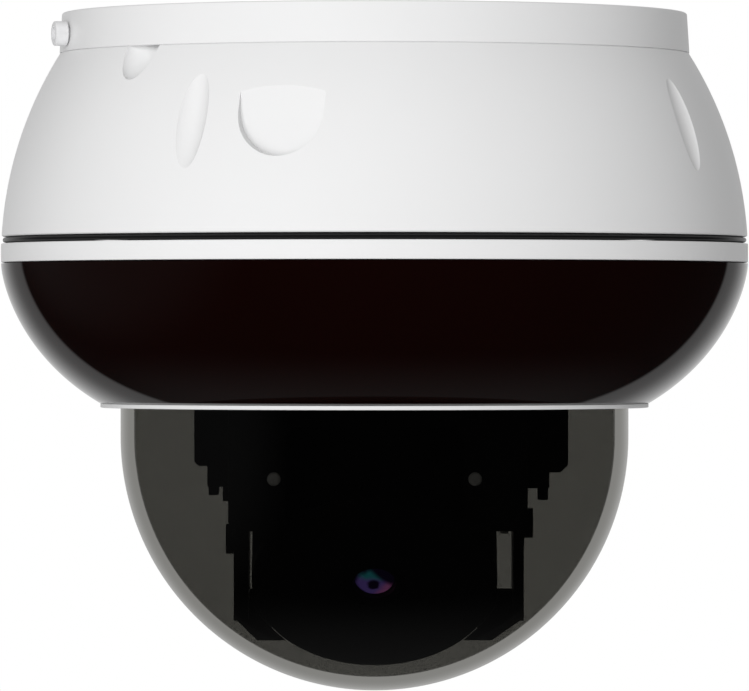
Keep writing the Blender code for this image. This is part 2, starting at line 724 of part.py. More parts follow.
GEAR_T = 5.5 * MM
DISC_LOW = HUB_Z - DISC_T
ARM_GAP = 1.0 * MM  # from the drum to the left arm
RIGHT_ARM_GAP = 4.8 * MM  # the tilt gear runs in this gap
LEFT_ARM_IN = DRUM_R + ARM_GAP
LEFT_ARM_OUT = LEFT_ARM_IN + ARM_T
RIGHT_ARM_IN = DRUM_R + RIGHT_ARM_GAP
RIGHT_ARM_OUT = RIGHT_ARM_IN + RIGHT_ARM_T
LEFT_POD_IN, RIGHT_POD_IN = LEFT_ARM_OUT + 3.6 * MM, RIGHT_ARM_OUT + 2.2 * MM
LEFT_POD_OUT, RIGHT_POD_OUT = LEFT_POD_IN + 7.7 * MM, RIGHT_POD_IN + 10.5 * MM
BUSH_R = AXLE_R + 2.0 * MM
MASK_T = 1.9 * MM
MASK_BACK_Y = -(SWEEP_R + 0.55 * MM)
MASK_FRONT_Y = MASK_BACK_Y - MASK_T
SLOT_HALF = DRUM_R - SLOT_MARGIN
MASK_SCREW_X = SLOT_HALF + 3.2 * MM
MASK_SCREW_Z = TILT_Z + 14.0 * MM


def joint_axis(name, place, parent=None):
    """An empty on a joint's axis, which the pieces that move with it hang from."""
    axis = bpy.data.objects.new(name, None)
    axis.empty_display_size = 10 * MM
    PARTS.objects.link(axis)
    axis.matrix_world = Matrix.Translation(place)
    if parent:
        hang(parent, axis)
    return axis


def hang(parent, *objects):
    bpy.context.view_layer.update()
    for obj in objects:
        place = obj.matrix_world.copy()
        obj.parent = parent
        obj.matrix_parent_inverse = parent.matrix_world.inverted()
        obj.matrix_world = place


def make_turntable():
    inner, outer = SPINDLE_R - SPINDLE_WALL, RIGHT_POD_OUT + 1.5 * MM
    table = turned(
        "turntable",
        [(SPINDLE_R, CHASSIS_LOW - 5 * MM), (SPINDLE_R, HUB_Z), (outer, HUB_Z),
         (outer, DISC_LOW), (inner, DISC_LOW), (inner, CHASSIS_LOW - 5 * MM)],
        sides=40,
    )
    paint(BLACK_PLASTIC, table)
    gear_low = HUB_Z + GAP
    gear = outline("pan_gear", polar(gear_outline(PAN_TEETH, GEAR_MODULE)), gear_low,
                   gear_low + GEAR_T, "Z")
    cut(gear, rod("pan_gear_bore", BEARING_R + 7 * MM, (0, 0, gear_low - 2 * MM),
                  (0, 0, gear_low + GEAR_T + 2 * MM), CUTTERS, ROUND_SIDES))
    paint(WHITE_ACETAL, gear)
    rotor = rod("slip_ring_rotor", SLIP_RING_R, (0, 0, DISC_LOW), (0, 0, HUB_Z + 11.7 * MM),
                sides=ROUND_SIDES)
    paint(BRASS, rotor)
    return [table, gear, rotor]


def make_pan_pinion(motor_low):
    half_pitch = pi / PAN_PINION_TEETH
    low = HUB_Z + GAP + 0.2 * MM
    pinion = outline(
        "pan_pinion",
        polar(gear_outline(PAN_PINION_TEETH, GEAR_MODULE), (MOTOR_X, 0), pi + half_pitch),
        low, low + GEAR_T - 0.4 * MM, "Z",
    )
    join(pinion, rod("pan_pinion_shaft", 2.5 * MM, (MOTOR_X, 0, low + 2 * MM),
                     (MOTOR_X, 0, motor_low - GAP), CUTTERS))
    paint(BRASS, pinion)
    return pinion


def make_side_pods():
    """The covers at the two sides of the turntable. The right one holds the tilt motor."""
    top = DISC_LOW - GAP
    deep, wall = 20 * MM, 2 * MM
    pods = []
    sizes = (
        # side, inner and outer faces, the arm beside it, step's width, three low levels, corner
        ("side_pod_left", -1, LEFT_POD_IN, LEFT_POD_OUT, LEFT_ARM_OUT, 3.9 * MM,
         17.3 * MM, 11.2 * MM, 8.4 * MM, 1.2 * MM),
        ("side_pod_right", 1, RIGHT_POD_IN, RIGHT_POD_OUT, RIGHT_ARM_OUT, 5.0 * MM,
         15.4 * MM, 10.8 * MM, 7.0 * MM, 2.2 * MM),
    )
    for name, side, near, far, arm_out, step, outer_rise, step_rise, tab_rise, corner in sizes:
        outer_low, step_low = TILT_Z + outer_rise, TILT_Z + step_rise
        points = [
            (near, top), (far, top), (far, outer_low + corner), (far - corner, outer_low),
            (near + step, outer_low), (near + step, step_low), (near, step_low),
        ]
        pod = outline(name, [(side * u, v) for u, v in points], -deep, deep, "Y")
        open_in = near - 3 * MM
        points = [
            (open_in, top - wall), (far - wall, top - wall), (far - wall, outer_low + wall),
            (near + step - wall, outer_low + wall), (near + step - wall, step_low + wall),
            (open_in, step_low + wall),
        ]
        hollow = outline(name + "_hollow", [(side * u, v) for u, v in points],
                         -deep + wall, deep - wall, "Y", CUTTERS)
        tab_ends = sorted((side * (near + step - 3.0 * MM), side * (near + step)))
        tab = block(name + "_tab", (tab_ends[0], -4 * MM, TILT_Z + tab_rise),
                    (tab_ends[1], 4 * MM, step_low + 1.5 * MM), CUTTERS)
        # The front wall runs on towards the arm, so no light shows between them.
        lip_ends = sorted((side * (arm_out + GAP), side * (near + 0.5 * MM)))
        lip = block(name + "_lip", (lip_ends[0], -deep, step_low), (lip_ends[1], wall - deep, top),
                    CUTTERS)
        cut(pod, hollow)
        join(pod, tab, lip)
        paint(BLACK_PLASTIC, pod)
        pods.append(pod)
    return pods


def make_arm(name, side, inner, outer, boss_r, boss_z, boss_out):
    """A side plate with a nose for the mask, a boss, and a foot and heel that clear the drum."""

    def level(rise):
        return TILT_Z + rise * MM

    front = MASK_BACK_Y + GAP
    top = DISC_LOW - GAP
    foot_z = TILT_Z - FOOT_DROP + 6.3 * MM
    half_foot, foot_t = 8 * MM, 2.6 * MM
    heel_y, heel_t, heel_drop = 20 * MM, 2 * MM, 24 * MM
    plate_points = [
        (-30 * MM, top), (front + 6 * MM, level(22)), (front, level(20)), (front, level(11)),
        (-30 * MM, level(5)), (-half_foot, level(-8)), (-half_foot, foot_z), (half_foot, foot_z),
        (heel_y + heel_t, TILT_Z - heel_drop), (heel_y + heel_t, level(-8)),
        (28 * MM, level(14)), (28 * MM, top),
    ]
    ends = sorted((side * inner, side * outer))
    arm = outline(name, plate_points, ends[0], ends[1], "X")
    foot_low, foot_out = TILT_Z - FOOT_DROP, DRUM_R - 1.3 * MM

    def past_the_rim(near_y, first, last):
        """An inner edge, between two drops, that keeps clear of the drum's sweeping rim."""
        rim_clearance = 0.5 * MM
        found = []
        for step in range(5):
            drop = first + (last - first) * step / 4
            reach = hypot(drop, near_y) - rim_clearance
            found.append((sqrt(max(SWEEP_R**2 - reach**2, 0)), TILT_Z - drop))
        return found

    foot_in_y = half_foot - foot_t
    least_drop = sqrt((FACE + 0.5 * MM) ** 2 - foot_in_y**2)
    foot_points = [(outer - 0.2 * MM, level(-19.8)), (outer - 0.2 * MM, foot_z),
                   (foot_out, foot_low)]
    foot_points += past_the_rim(foot_in_y, FOOT_DROP, least_drop)
    foot_points.append((DRUM_R + 0.6 * MM, level(-19.8)))
    foot = outline(name + "_foot", [(side * u, v) for u, v in foot_points],
                   foot_in_y, half_foot, "Y", CUTTERS)
    heel_points = [(outer - 0.2 * MM, level(-19.8)), (outer - 0.2 * MM, TILT_Z - heel_drop),
                   (foot_out, level(-30)), (foot_out - 4.6 * MM, level(-31.5))]
    heel_points += past_the_rim(heel_y, 28 * MM, 19.8 * MM)
    heel = outline(name + "_heel", [(side * u, v) for u, v in heel_points],
                   heel_y, heel_y + heel_t, "Y", CUTTERS)
    nose_ends = sorted((side * (SLOT_HALF + 0.6 * MM), side * (outer - 1 * MM)))
    nose = block(name + "_nose", (nose_ends[0], front, level(11)),
                 (nose_ends[1], front + 1.0 * MM, level(17)), CUTTERS)
    boss = rod(name + "_boss", boss_r, (side * (outer - 1 * MM), 0, boss_z),
               (side * boss_out, 0, boss_z), CUTTERS, sides=20)
    join(arm, foot, heel, nose, boss)
    hole = rod(name + "_bore", BUSH_R + GAP, (side * (inner - 2 * MM), 0, TILT_Z),
               (side * (boss_out + 2 * MM), 0, TILT_Z), CUTTERS, sides=20)
    screw_hole = rod(name + "_screw_hole", MASK_SCREW_R + SCREW_CLEARANCE,
                     (side * MASK_SCREW_X, front - 2 * MM, MASK_SCREW_Z),
                     (side * MASK_SCREW_X, front + 3 * MM, MASK_SCREW_Z), CUTTERS, sides=12)
    cut(arm, hole, screw_hole)
    paint(BLACK_PLASTIC, arm)
    return arm


def make_arms():
    left = make_arm("arm_left", -1, LEFT_ARM_IN, LEFT_ARM_OUT, 5.3 * MM,
                    TILT_Z - 3.6 * MM, LEFT_ARM_OUT + 2.4 * MM)
    bracket = block("arm_left_step", (-LEFT_ARM_OUT - 0.9 * MM, -5 * MM, TILT_Z + 1.7 * MM),
                    (-LEFT_ARM_OUT + 1 * MM, 5 * MM, TILT_Z + 9 * MM), CUTTERS)
    bracket_top = block("arm_left_step_top",
                        (-LEFT_ARM_OUT - 3.3 * MM, -4 * MM, TILT_Z + 6.7 * MM),
                        (-LEFT_ARM_OUT + 1 * MM, 4 * MM, TILT_Z + 16 * MM), CUTTERS)
    bore_again = rod("arm_left_bore_again", BUSH_R + GAP, (-LEFT_ARM_OUT - 4 * MM, 0, TILT_Z),
                     (-LEFT_ARM_IN + 2 * MM, 0, TILT_Z), CUTTERS, sides=20)
    join(left, bracket, bracket_top)
    cut(left, bore_again)
    right = make_arm("arm_right", 1, RIGHT_ARM_IN, RIGHT_ARM_OUT, 4.4 * MM,
                     TILT_Z + 0.2 * MM, RIGHT_ARM_OUT + 2.8 * MM)
    shaft_hole = rod("tilt_shaft_hole", 1.9 * MM, (RIGHT_ARM_IN - 2 * MM, 0, TILT_PINION_Z),
                     (RIGHT_ARM_OUT + 2 * MM, 0, TILT_PINION_Z), CUTTERS, sides=12)
    cut(right, shaft_hole)
    bushes = []
    for name, side, inner, outer in (
        ("tilt_bush_left", -1, LEFT_ARM_IN, LEFT_ARM_OUT),
        ("tilt_bush_right", 1, RIGHT_ARM_IN, RIGHT_ARM_OUT),
    ):
        bush = rod(name, BUSH_R, (side * inner, 0, TILT_Z), (side * outer, 0, TILT_Z), sides=20)
        cut(bush, rod(name + "_bore", AXLE_R + GAP, (side * (inner - 2 * MM), 0, TILT_Z),
                      (side * (outer + 2 * MM), 0, TILT_Z), CUTTERS))
        paint(BRASS, bush)
        bushes.append(bush)
    return [left, right] + bushes


def make_front_mask():
    """The plate in front of the arms. The lens looks out through its slot at every tilt."""
    top = DISC_LOW - GAP
    low = TILT_Z - 1.1 * MM
    left, right = -(LEFT_ARM_OUT + 0.9 * MM), RIGHT_ARM_OUT + 0.4 * MM
    slot, corner = SLOT_HALF, 2.5 * MM
    slot_top = TILT_Z + 29 * MM
    points = [
        (left, top), (left, low + corner), (left + corner, low), (-slot - corner, low),
        (-slot, low + corner), (-slot, slot_top - corner), (-slot + corner, slot_top),
        (slot - corner, slot_top), (slot, slot_top - corner), (slot, low + corner),
        (slot + corner, low), (right - corner, low), (right, low + corner), (right, top),
    ]
    mask = outline("front_mask", points, MASK_FRONT_Y, MASK_BACK_Y, "Y")
    shelf = block("mask_shelf", (left, MASK_FRONT_Y + 0.5 * MM, top - 2 * MM),
                  (right, MASK_BACK_Y + 8 * MM, top), CUTTERS)
    join(mask, shelf)
    screws = []
    for name, side in (("left", -1), ("right", 1)):
        x = side * MASK_SCREW_X
        cut(mask, rod(f"mask_hole_{name}", MASK_SCREW_R + SCREW_CLEARANCE,
                      (x, MASK_FRONT_Y - 2 * MM, MASK_SCREW_Z),
                      (x, MASK_BACK_Y + 2 * MM, MASK_SCREW_Z), CUTTERS, sides=12))
        head_back = MASK_FRONT_Y - GAP
        screw = rod(f"mask_screw_{name}", 2.0 * MM, (x, head_back, MASK_SCREW_Z),
                    (x, head_back - 1.4 * MM, MASK_SCREW_Z), sides=20, end_radius=1.4 * MM)
        shank = rod(f"mask_shank_{name}", MASK_SCREW_R, (x, head_back - 0.5 * MM, MASK_SCREW_Z),
                    (x, MASK_BACK_Y + 1.0 * MM, MASK_SCREW_Z), CUTTERS, sides=12)
        join(screw, shank)
        paint(STEEL, screw)
        screws.append(screw)
    paint(BLACK_PLASTIC, mask)
    return [mask] + screws


def make_rear_cowl():
    outer, wall = SWEEP_R + 2.6 * MM, 2 * MM
    top, low = DISC_LOW - GAP, TILT_Z + 2 * MM
    cowl = ring("rear_cowl", outer - wall, outer, top, low, BLACK_PLASTIC, 40)
    half = DRUM_R - 0.4 * MM
    far = outer + 5 * MM
    cut(
        cowl,
        block("cowl_front", (-far, -far, low - 5 * MM), (far, 20 * MM, top + 5 * MM), CUTTERS),
        block("cowl_left", (-far, 0, low - 5 * MM), (-half, far, top + 5 * MM), CUTTERS),
        block("cowl_right", (half, 0, low - 5 * MM), (far, far, top + 5 * MM), CUTTERS),
    )
    return cowl


TILT_PINION_Z = TILT_Z + TILT_MODULE * (TILT_TEETH + TILT_PINION_TEETH) / 2
TILT_GEAR_X = DRUM_R + 1.1 * MM


def make_tilt_motor():
    start = RIGHT_ARM_OUT + 0.6 * MM
    motor = rod("tilt_motor", 4.9 * MM, (start, 0, TILT_PINION_Z),
                (start + 9.4 * MM, 0, TILT_PINION_Z), sides=ROUND_SIDES)
    paint(STEEL, motor)
    return motor


def make_tilt_pinion():
    half_pitch = pi / TILT_PINION_TEETH
    pinion = outline(
        "tilt_pinion",
        polar(gear_outline(TILT_PINION_TEETH, TILT_MODULE), (0, TILT_PINION_Z),
              -pi / 2 + half_pitch),
        TILT_GEAR_X + 0.2 * MM, TILT_GEAR_X + TILT_GEAR_T, "X",
    )
    join(pinion, rod("tilt_pinion_shaft", 1.5 * MM, (TILT_GEAR_X + 1 * MM, 0, TILT_PINION_Z),
                     (RIGHT_ARM_OUT + 0.3 * MM, 0, TILT_PINION_Z), CUTTERS, sides=12))
    paint(BRASS, pinion)
    return pinion


# ---- the drum that tilts ----------------------------------------------------------------------

TILT_PLACE = Matrix.Translation((0, 0, TILT_Z)) @ Matrix.Rotation(radians(90 + REST_TILT), 4, "X")
DRUM_WALL = 2.5 * MM
DRUM_BACK = -4.0 * MM  # the drum's rear edge, behind the tilt axis
BEZEL_FRONT = FACE + 0.4 * MM


def make_drum():
    """Turned about the lens axis, with its origin on the tilt axis: +Z leaves the lens."""
    inner = DRUM_R - DRUM_WALL
    edge = 1.2 * MM
    hole = LENS_R + GAP
    shell = turned(
        "drum_shell",
        [(hole, FACE), (DRUM_R - edge, FACE), (DRUM_R - 0.3 * edge, FACE - 0.3 * edge),
         (DRUM_R, FACE - edge), (DRUM_R, DRUM_BACK), (inner, DRUM_BACK),
         (inner, FACE - DRUM_WALL), (hole, FACE - DRUM_WALL)],
        sides=32, place=TILT_PLACE,
    )
    paint(BLACK_PLASTIC, shell)
    back, cup_r, cup_wall = DRUM_BACK - GAP, DRUM_R - 5.9 * MM, 2 * MM
    low = -16 * MM
    cover = turned(
        "drum_rear_cover",
        [(0, low + cup_wall), (cup_r - cup_wall, low + cup_wall), (cup_r - cup_wall, back),
         (DRUM_R - 0.4 * MM, back), (DRUM_R - 0.4 * MM, back - 2 * MM), (cup_r, back - 2 * MM),
         (cup_r, low + 3 * MM), (cup_r - 3 * MM, low), (0, low)],
        sides=32, place=TILT_PLACE,
    )
    paint(BLACK_PLASTIC, cover)
    axles = [
        rod("tilt_axle_left", AXLE_R, (-DRUM_R - GAP, 0, TILT_Z), (-LEFT_ARM_OUT, 0, TILT_Z)),
        rod("tilt_axle_right", AXLE_R, (DRUM_R + GAP, 0, TILT_Z), (RIGHT_ARM_OUT, 0, TILT_Z)),
    ]
    paint(STEEL, *axles)
    return [shell, cover, *axles, make_tilt_gear()]


def make_tilt_gear():
    """A sector that stands above the tilt axis and swings with the drum."""
    pitch_angle = 2 * pi / TILT_TEETH
    reach = 8  # teeth each side of the middle one
    teeth = gear_outline(TILT_TEETH, TILT_MODULE, -reach, reach + 1)
    up = pi / 2
    points = polar(teeth, (0, TILT_Z), up)
    hub_r = AXLE_R + 1.4 * MM
    end = up + (reach + 0.3) * pitch_angle
    hub = [(end + (2 * pi - 2 * (reach + 0.3) * pitch_angle) * i / 6, hub_r) for i in range(7)]
    points += polar(hub, (0, TILT_Z))
    gear = outline("tilt_gear", points, TILT_GEAR_X, TILT_GEAR_X + TILT_GEAR_T, "X")
    cut(gear, rod("tilt_gear_bore", AXLE_R + GAP, (TILT_GEAR_X - 2 * MM, 0, TILT_Z),
                  (TILT_GEAR_X + 5 * MM, 0, TILT_Z), CUTTERS))
    paint(WHITE_ACETAL, gear)
    return gear


BARREL_R = LENS_R - 2.6 * MM


def make_lens():
    lip_r = BARREL_R + 0.4 * MM
    bezel = turned(
        "lens_bezel",
        [(lip_r + 0.8 * MM, BEZEL_FRONT), (LENS_R, BEZEL_FRONT - 0.5 * MM),
         (LENS_R, FACE - DRUM_WALL), (lip_r, FACE - DRUM_WALL), (lip_r, BEZEL_FRONT)],
        sides=ROUND_SIDES, place=TILT_PLACE,
    )
    paint(BLACK_PLASTIC, bezel)
    front, back = FACE - 0.2 * MM, 3.0 * MM
    glass_r = BARREL_R - 0.8 * MM
    barrel = turned(
        "lens_barrel",
        [(BARREL_R, front), (BARREL_R, back), (glass_r - 1.5 * MM, back),
         (glass_r - 1.5 * MM, front - 5 * MM), (glass_r + GAP, front - 5 * MM),
         (glass_r + GAP, front)],
        sides=ROUND_SIDES, place=TILT_PLACE,
    )
    paint(BLACK_PLASTIC, barrel)
    glass_low = front - 3.6 * MM
    bulge = 1.8 * MM
    dome = [(glass_r * cos(radians(a)), glass_low + 1.6 * MM + bulge * sin(radians(a)))
            for a in (0, 25, 50, 75)]
    glass = turned("front_lens", [(0, glass_low), (glass_r, glass_low)] + dome
                   + [(0, glass_low + 1.6 * MM + bulge)], sides=24, place=TILT_PLACE)
    paint(CLEAR_GLASS, glass)
    block_half = 13 * MM
    image = block("image_board", (-block_half, -block_half, -9 * MM), (block_half, block_half, MM),
                  bevel=1 * MM)
    image.matrix_world = TILT_PLACE
    paint(ALUMINIUM, image)
    return [bezel, image], [barrel, glass]


# ---- assembly ---------------------------------------------------------------------------------


def finish_nodes():
    """Each part's modifiers applied, so that it can be shaded smooth up to its real edges."""
    parts = [obj for obj in PARTS.objects if obj.type == "MESH"]
    meshes = [evaluated_mesh(obj) for obj in parts]
    for obj, mesh in zip(parts, meshes):
        obj.modifiers.clear()
        obj.data = mesh
        mesh.shade_smooth()
        mesh.set_sharp_from_angle(angle=SMOOTH_BELOW)


make_mounting_base()
make_lock_screw()
make_upper_housing()
make_stripe_and_band()
make_ir_window()
make_dome_ring()
make_dome_bubble()
make_chassis()
make_main_board()
make_cable_gland()
make_ir_unit()
make_pan_hub()
motor_low = make_pan_motor()

pan_axis = joint_axis("pan_axis", (0, 0, HUB_Z))
pan_pinion_axis = joint_axis("pan_pinion_axis", (MOTOR_X, 0, HUB_Z))
tilt_axis = joint_axis("tilt_axis", (0, 0, TILT_Z), pan_axis)
tilt_pinion_axis = joint_axis("tilt_pinion_axis", (0, 0, TILT_PINION_Z), pan_axis)
focus_axis = joint_axis("focus_axis", (0, 0, TILT_Z), tilt_axis)

hang(pan_axis, *make_turntable(), *make_side_pods(), *make_arms(), *make_front_mask(),
     make_rear_cowl(), make_tilt_motor())
hang(pan_pinion_axis, make_pan_pinion(motor_low))
hang(tilt_pinion_axis, make_tilt_pinion())
with_drum, with_focus = make_lens()
hang(tilt_axis, *make_drum(), *with_drum)
hang(focus_axis, *with_focus)
finish_nodes()
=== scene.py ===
from math import asin, cos, degrees, hypot, pi, radians, sin, sqrt

import bmesh
import bpy
from mathutils import Matrix, Vector


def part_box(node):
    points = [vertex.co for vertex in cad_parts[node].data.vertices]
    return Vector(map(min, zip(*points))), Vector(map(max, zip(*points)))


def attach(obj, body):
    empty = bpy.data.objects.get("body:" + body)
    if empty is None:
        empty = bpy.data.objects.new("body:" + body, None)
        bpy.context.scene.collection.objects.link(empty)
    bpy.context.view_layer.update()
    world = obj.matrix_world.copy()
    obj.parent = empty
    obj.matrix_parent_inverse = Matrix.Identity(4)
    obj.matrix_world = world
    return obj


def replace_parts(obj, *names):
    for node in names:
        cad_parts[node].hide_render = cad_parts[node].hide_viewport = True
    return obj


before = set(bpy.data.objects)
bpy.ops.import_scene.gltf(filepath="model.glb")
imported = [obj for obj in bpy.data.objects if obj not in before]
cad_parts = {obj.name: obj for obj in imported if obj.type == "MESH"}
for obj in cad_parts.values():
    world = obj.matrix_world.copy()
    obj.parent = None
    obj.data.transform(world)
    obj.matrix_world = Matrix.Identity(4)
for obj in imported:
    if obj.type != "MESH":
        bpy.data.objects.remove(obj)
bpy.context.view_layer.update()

MM = 0.001

# ---- camera, lights and floor -------------------------------------------------------------------
# A long lens looks level at the hanging camera, a little below the middle of its casing, so that
# neither the ceiling face nor the underside of the casing shows.

scene = bpy.context.scene
scene.view_settings.view_transform = "Standard"
view_from = (0, -2.18, -93.9 * MM)
camera = bpy.data.objects.new("camera", bpy.data.cameras.new("camera"))
camera.location = view_from
camera.rotation_euler = (radians(90), 0, 0)
camera.data.lens = 356
camera.data.sensor_width = 36
camera.data.shift_y = -0.0167
scene.collection.objects.link(camera)
scene.camera = camera


def soft_light(name, azimuth, elevation, distance, size, power):
    """A square lamp that faces the object. Nothing shiny shows it as a bright patch."""
    lamp = bpy.data.objects.new(name, bpy.data.lights.new(name, "AREA"))
    lamp.data.size = size
    lamp.data.energy = power
    turn, rise = radians(azimuth), radians(elevation)
    out = Vector((sin(turn) * cos(rise), -cos(turn) * cos(rise), sin(rise)))
    lamp.location = Vector((0, 0, -90 * MM)) + out * distance
    lamp.rotation_euler = out.to_track_quat("Z", "Y").to_euler()
    lamp.visible_glossy = False
    scene.collection.objects.link(lamp)


soft_light("key_light", -18, 4, 2.6, 1.6, 47)


class Wire:
    """A socket in a node tree. Arithmetic on it adds Math nodes, and node() adds any other node."""

    def __init__(self, tree, socket=None):
        self.tree, self.socket = tree, socket

    def node(self, kind, settings=None, sockets=None, output=0):
        made = self.tree.nodes.new("ShaderNode" + kind)
        for name, value in (settings or {}).items():
            if name == "stops":
                ramp = made.color_ramp
                for _ in value[2:]:
                    ramp.elements.new(0.5)
                for stop, (place, color) in zip(ramp.elements, value):
                    stop.position, stop.color = place, (*color, 1)
            else:
                setattr(made, name, value)
        for name, value in (sockets or {}).items():
            if isinstance(value, Wire):
                self.tree.links.new(value.socket, made.inputs[name])
            else:
                made.inputs[name].default_value = value
        return Wire(self.tree, made.outputs[output]) if made.outputs else None

    def math(self, operation, *others):
        numbered = dict(enumerate((self, *others)))
        return self.node("Math", {"operation": operation}, numbered)

    def __add__(self, other):
        return self.math("ADD", other)

    def __mul__(self, other):
        return self.math("MULTIPLY", other)

    def __sub__(self, other):
        return self.math("SUBTRACT", other)

    def __rsub__(self, other):
        return (self * -1).math("ADD", other)

    def __pow__(self, other):
        return self.math("POWER", other)

    __radd__, __rmul__ = __add__, __mul__

    def above(self, start, end):
        """0 below start and 1 above end, with a smooth step between them."""
        return self.node("MapRange", {"interpolation_type": "SMOOTHSTEP"},
                         {0: self, 1: start, 2: end})

    def blend(self, first, second):
        """The first colour where this is 0, and the second where it is 1."""
        return self.node("Mix", {"data_type": "RGBA"}, {0: self, 6: first, 7: second}, 2)


# The studio is white to the eye and lights evenly. What shines mirrors a dim room, with a white
# sheet standing behind the object.
studio = bpy.data.worlds.new("studio")
scene.world = studio
studio.use_nodes = True
studio.node_tree.nodes.clear()
sky = Wire(studio.node_tree)
light_path = sky.node("LightPath")
is_camera = Wire(sky.tree, light_path.socket.node.outputs["Is Camera Ray"])
is_glossy = Wire(sky.tree, light_path.socket.node.outputs["Is Glossy Ray"])
parts = sky.node("SeparateXYZ", None, {0: sky.node("TexCoord")})
rightward, backward, upward = (Wire(sky.tree, parts.socket.node.outputs[axis]) for axis in "XYZ")
room = (0.012 + 0.27 * backward.above(0.74, 0.77) + 0.42 * backward.above(0.82, 1.0)
        + 0.5 * upward.above(0.25, 0.6)
        + 0.08 * (backward * 0.5 - upward).above(0.85, 1.2)
        + 0.045 * (rightward * -1).above(0.6, 0.95))
seen_white = 1.0
fill = 0.55 - 0.20 * upward
level = is_glossy * room + (1 - is_glossy) * fill
level = is_camera * seen_white + (1 - is_camera) * level
background = sky.node("Background", None, {"Color": (1, 1, 1, 1), "Strength": level})
sky.node("OutputWorld", None, {"Surface": background})

# A pale round floor a hand's breadth below the dome, which fades out towards its edge.
floor_mesh = bpy.data.meshes.new("floor")
floor_r, floor_z = 0.9, -0.26
shape = bmesh.new()
bmesh.ops.create_circle(shape, cap_ends=True, segments=96, radius=floor_r)
bmesh.ops.translate(shape, verts=shape.verts, vec=(0, 0, floor_z))
shape.to_mesh(floor_mesh)
shape.free()
floor = bpy.data.objects.new("floor", floor_mesh)
scene.collection.objects.link(floor)
floor.visible_glossy = False
pale = bpy.data.materials.new("pale_floor")
pale.use_nodes = True
pale.node_tree.nodes.clear()
ground = Wire(pale.node_tree)
place = ground.node("TexCoord", None, None, 3)
across = ground.node("VectorMath", {"operation": "LENGTH"},
                     {0: ground.node("VectorMath", {"operation": "MULTIPLY"},
                                     {0: place, 1: (1, 1, 0)})}, 1)
matt = ground.node("BsdfDiffuse", None, {"Color": (0.88, 0.88, 0.88, 1)})
clear = ground.node("BsdfTransparent")
seen_from_below = ground.node("NewGeometry", None, None, 6)
fade = across.above(0.25, floor_r).math("MAXIMUM", seen_from_below)
ground.node("OutputMaterial", None,
            {"Surface": ground.node("MixShader", None, {0: fade, 1: matt, 2: clear})})
floor_mesh.materials.append(pale)

# ---- mounting base ------------------------------------------------------------------------------
# The aluminium ring and plate that the ceiling screws hold, cast in one and powder-coated white
# with the fine, even grain that a sprayed powder leaves.


def finish_of(name):
    """An empty material and a Wire on its tree, with the place on the piece in metres."""
    made = bpy.data.materials.new(name)
    made.use_nodes = True
    made.node_tree.nodes.clear()
    wire = Wire(made.node_tree)
    return made, wire, wire.node("TexCoord", None, None, 3)


def surface(wire, bump=None, bump_height=0.0, **sockets):
    """A Principled surface, with a bump of this height in metres."""
    named = {name.replace("_", " "): value for name, value in sockets.items()}
    if bump:
        named["Normal"] = wire.node("Bump", None, {"Height": bump, "Distance": bump_height,
                                                   "Strength": 1.0})
    shader = wire.node("BsdfPrincipled", None, named)
    wire.node("OutputMaterial", None, {"Surface": shader})


def noise(wire, place, size, detail=2.0):
    """A soft random pattern whose grains are about this size in metres."""
    return wire.node("TexNoise", None, {"Vector": place, "Scale": 1 / size, "Detail": detail})


def moulded(name, first, second, roughness, grain=0.5 * MM, height=0.01 * MM, patch=30 * MM,
            **sockets):
    """A finish with two close colours in broad patches, an even grain and its gloss to match."""
    made, wire, place = finish_of(name)
    grains = noise(wire, place, grain)
    surface(wire, grains, height,
            Base_Color=noise(wire, place, patch, 3.0).blend((*first, 1), (*second, 1)),
            Roughness=roughness - 0.05 + 0.1 * grains, **sockets)
    return made


powder_coat = moulded("white_powder_coat", (0.795, 0.795, 0.798), (0.775, 0.775, 0.777), 0.38,
                      grain=0.7 * MM, height=0.012 * MM, Sheen_Weight=0.09, Sheen_Roughness=0.3)


def piece_of(name, shape):
    mesh = bpy.data.meshes.new(name)
    shape.to_mesh(mesh)
    shape.free()
    made = bpy.data.objects.new(name, mesh)
    scene.collection.objects.link(made)
    return made


def smooth(piece, sharp_above=32):
    piece.data.shade_smooth()
    piece.data.set_sharp_from_angle(angle=radians(sharp_above))
    return piece


def turned(name, profile, sides=224, place=None):
    """A profile of (radius, height) points turned about Z. It closes on itself or on the axis."""
    shape = bmesh.new()
    rings = []
    for step in range(sides):
        angle = 2 * pi * step / sides
        rings.append([shape.verts.new((r * cos(angle), r * sin(angle), z)) for r, z in profile])
    for step, ring in enumerate(rings):
        beside = rings[(step + 1) % sides]
        for j, (r, _) in enumerate(profile):
            k = (j + 1) % len(profile)
            if r or profile[k][0]:
                shape.faces.new((ring[j], beside[j], beside[k], ring[k]))
    bmesh.ops.remove_doubles(shape, verts=shape.verts, dist=0.0001 * MM)
    bmesh.ops.recalc_face_normals(shape, faces=shape.faces)
    if place:
        shape.transform(place)
    return smooth(piece_of(name, shape))


def rod(name, radius, start, end, sides=48, end_radius=None):
    start, end = Vector(start), Vector(end)
    turn = (end - start).to_track_quat("Z", "Y").to_matrix().to_4x4()
    shape = bmesh.new()
    bmesh.ops.create_cone(shape, cap_ends=True, segments=sides, radius1=radius,
                          radius2=radius if end_radius is None else end_radius,
                          depth=(end - start).length)
    shape.transform(Matrix.Translation((start + end) / 2) @ turn)
    return piece_of(name, shape)


def plain_mesh(piece):
    """The piece's modifiers become its mesh."""
    bpy.context.view_layer.update()
    graph = bpy.context.evaluated_depsgraph_get()
    mesh = bpy.data.meshes.new_from_object(piece.evaluated_get(graph), depsgraph=graph)
    piece.modifiers.clear()
    piece.data = mesh
    return piece


def boolean(piece, operation, others):
    for other in others:
        step = piece.modifiers.new(other.name, "BOOLEAN")
        step.operation, step.solver, step.object = operation, "EXACT", other
    plain_mesh(piece)
    for other in others:
        bpy.data.objects.remove(other)
    return piece


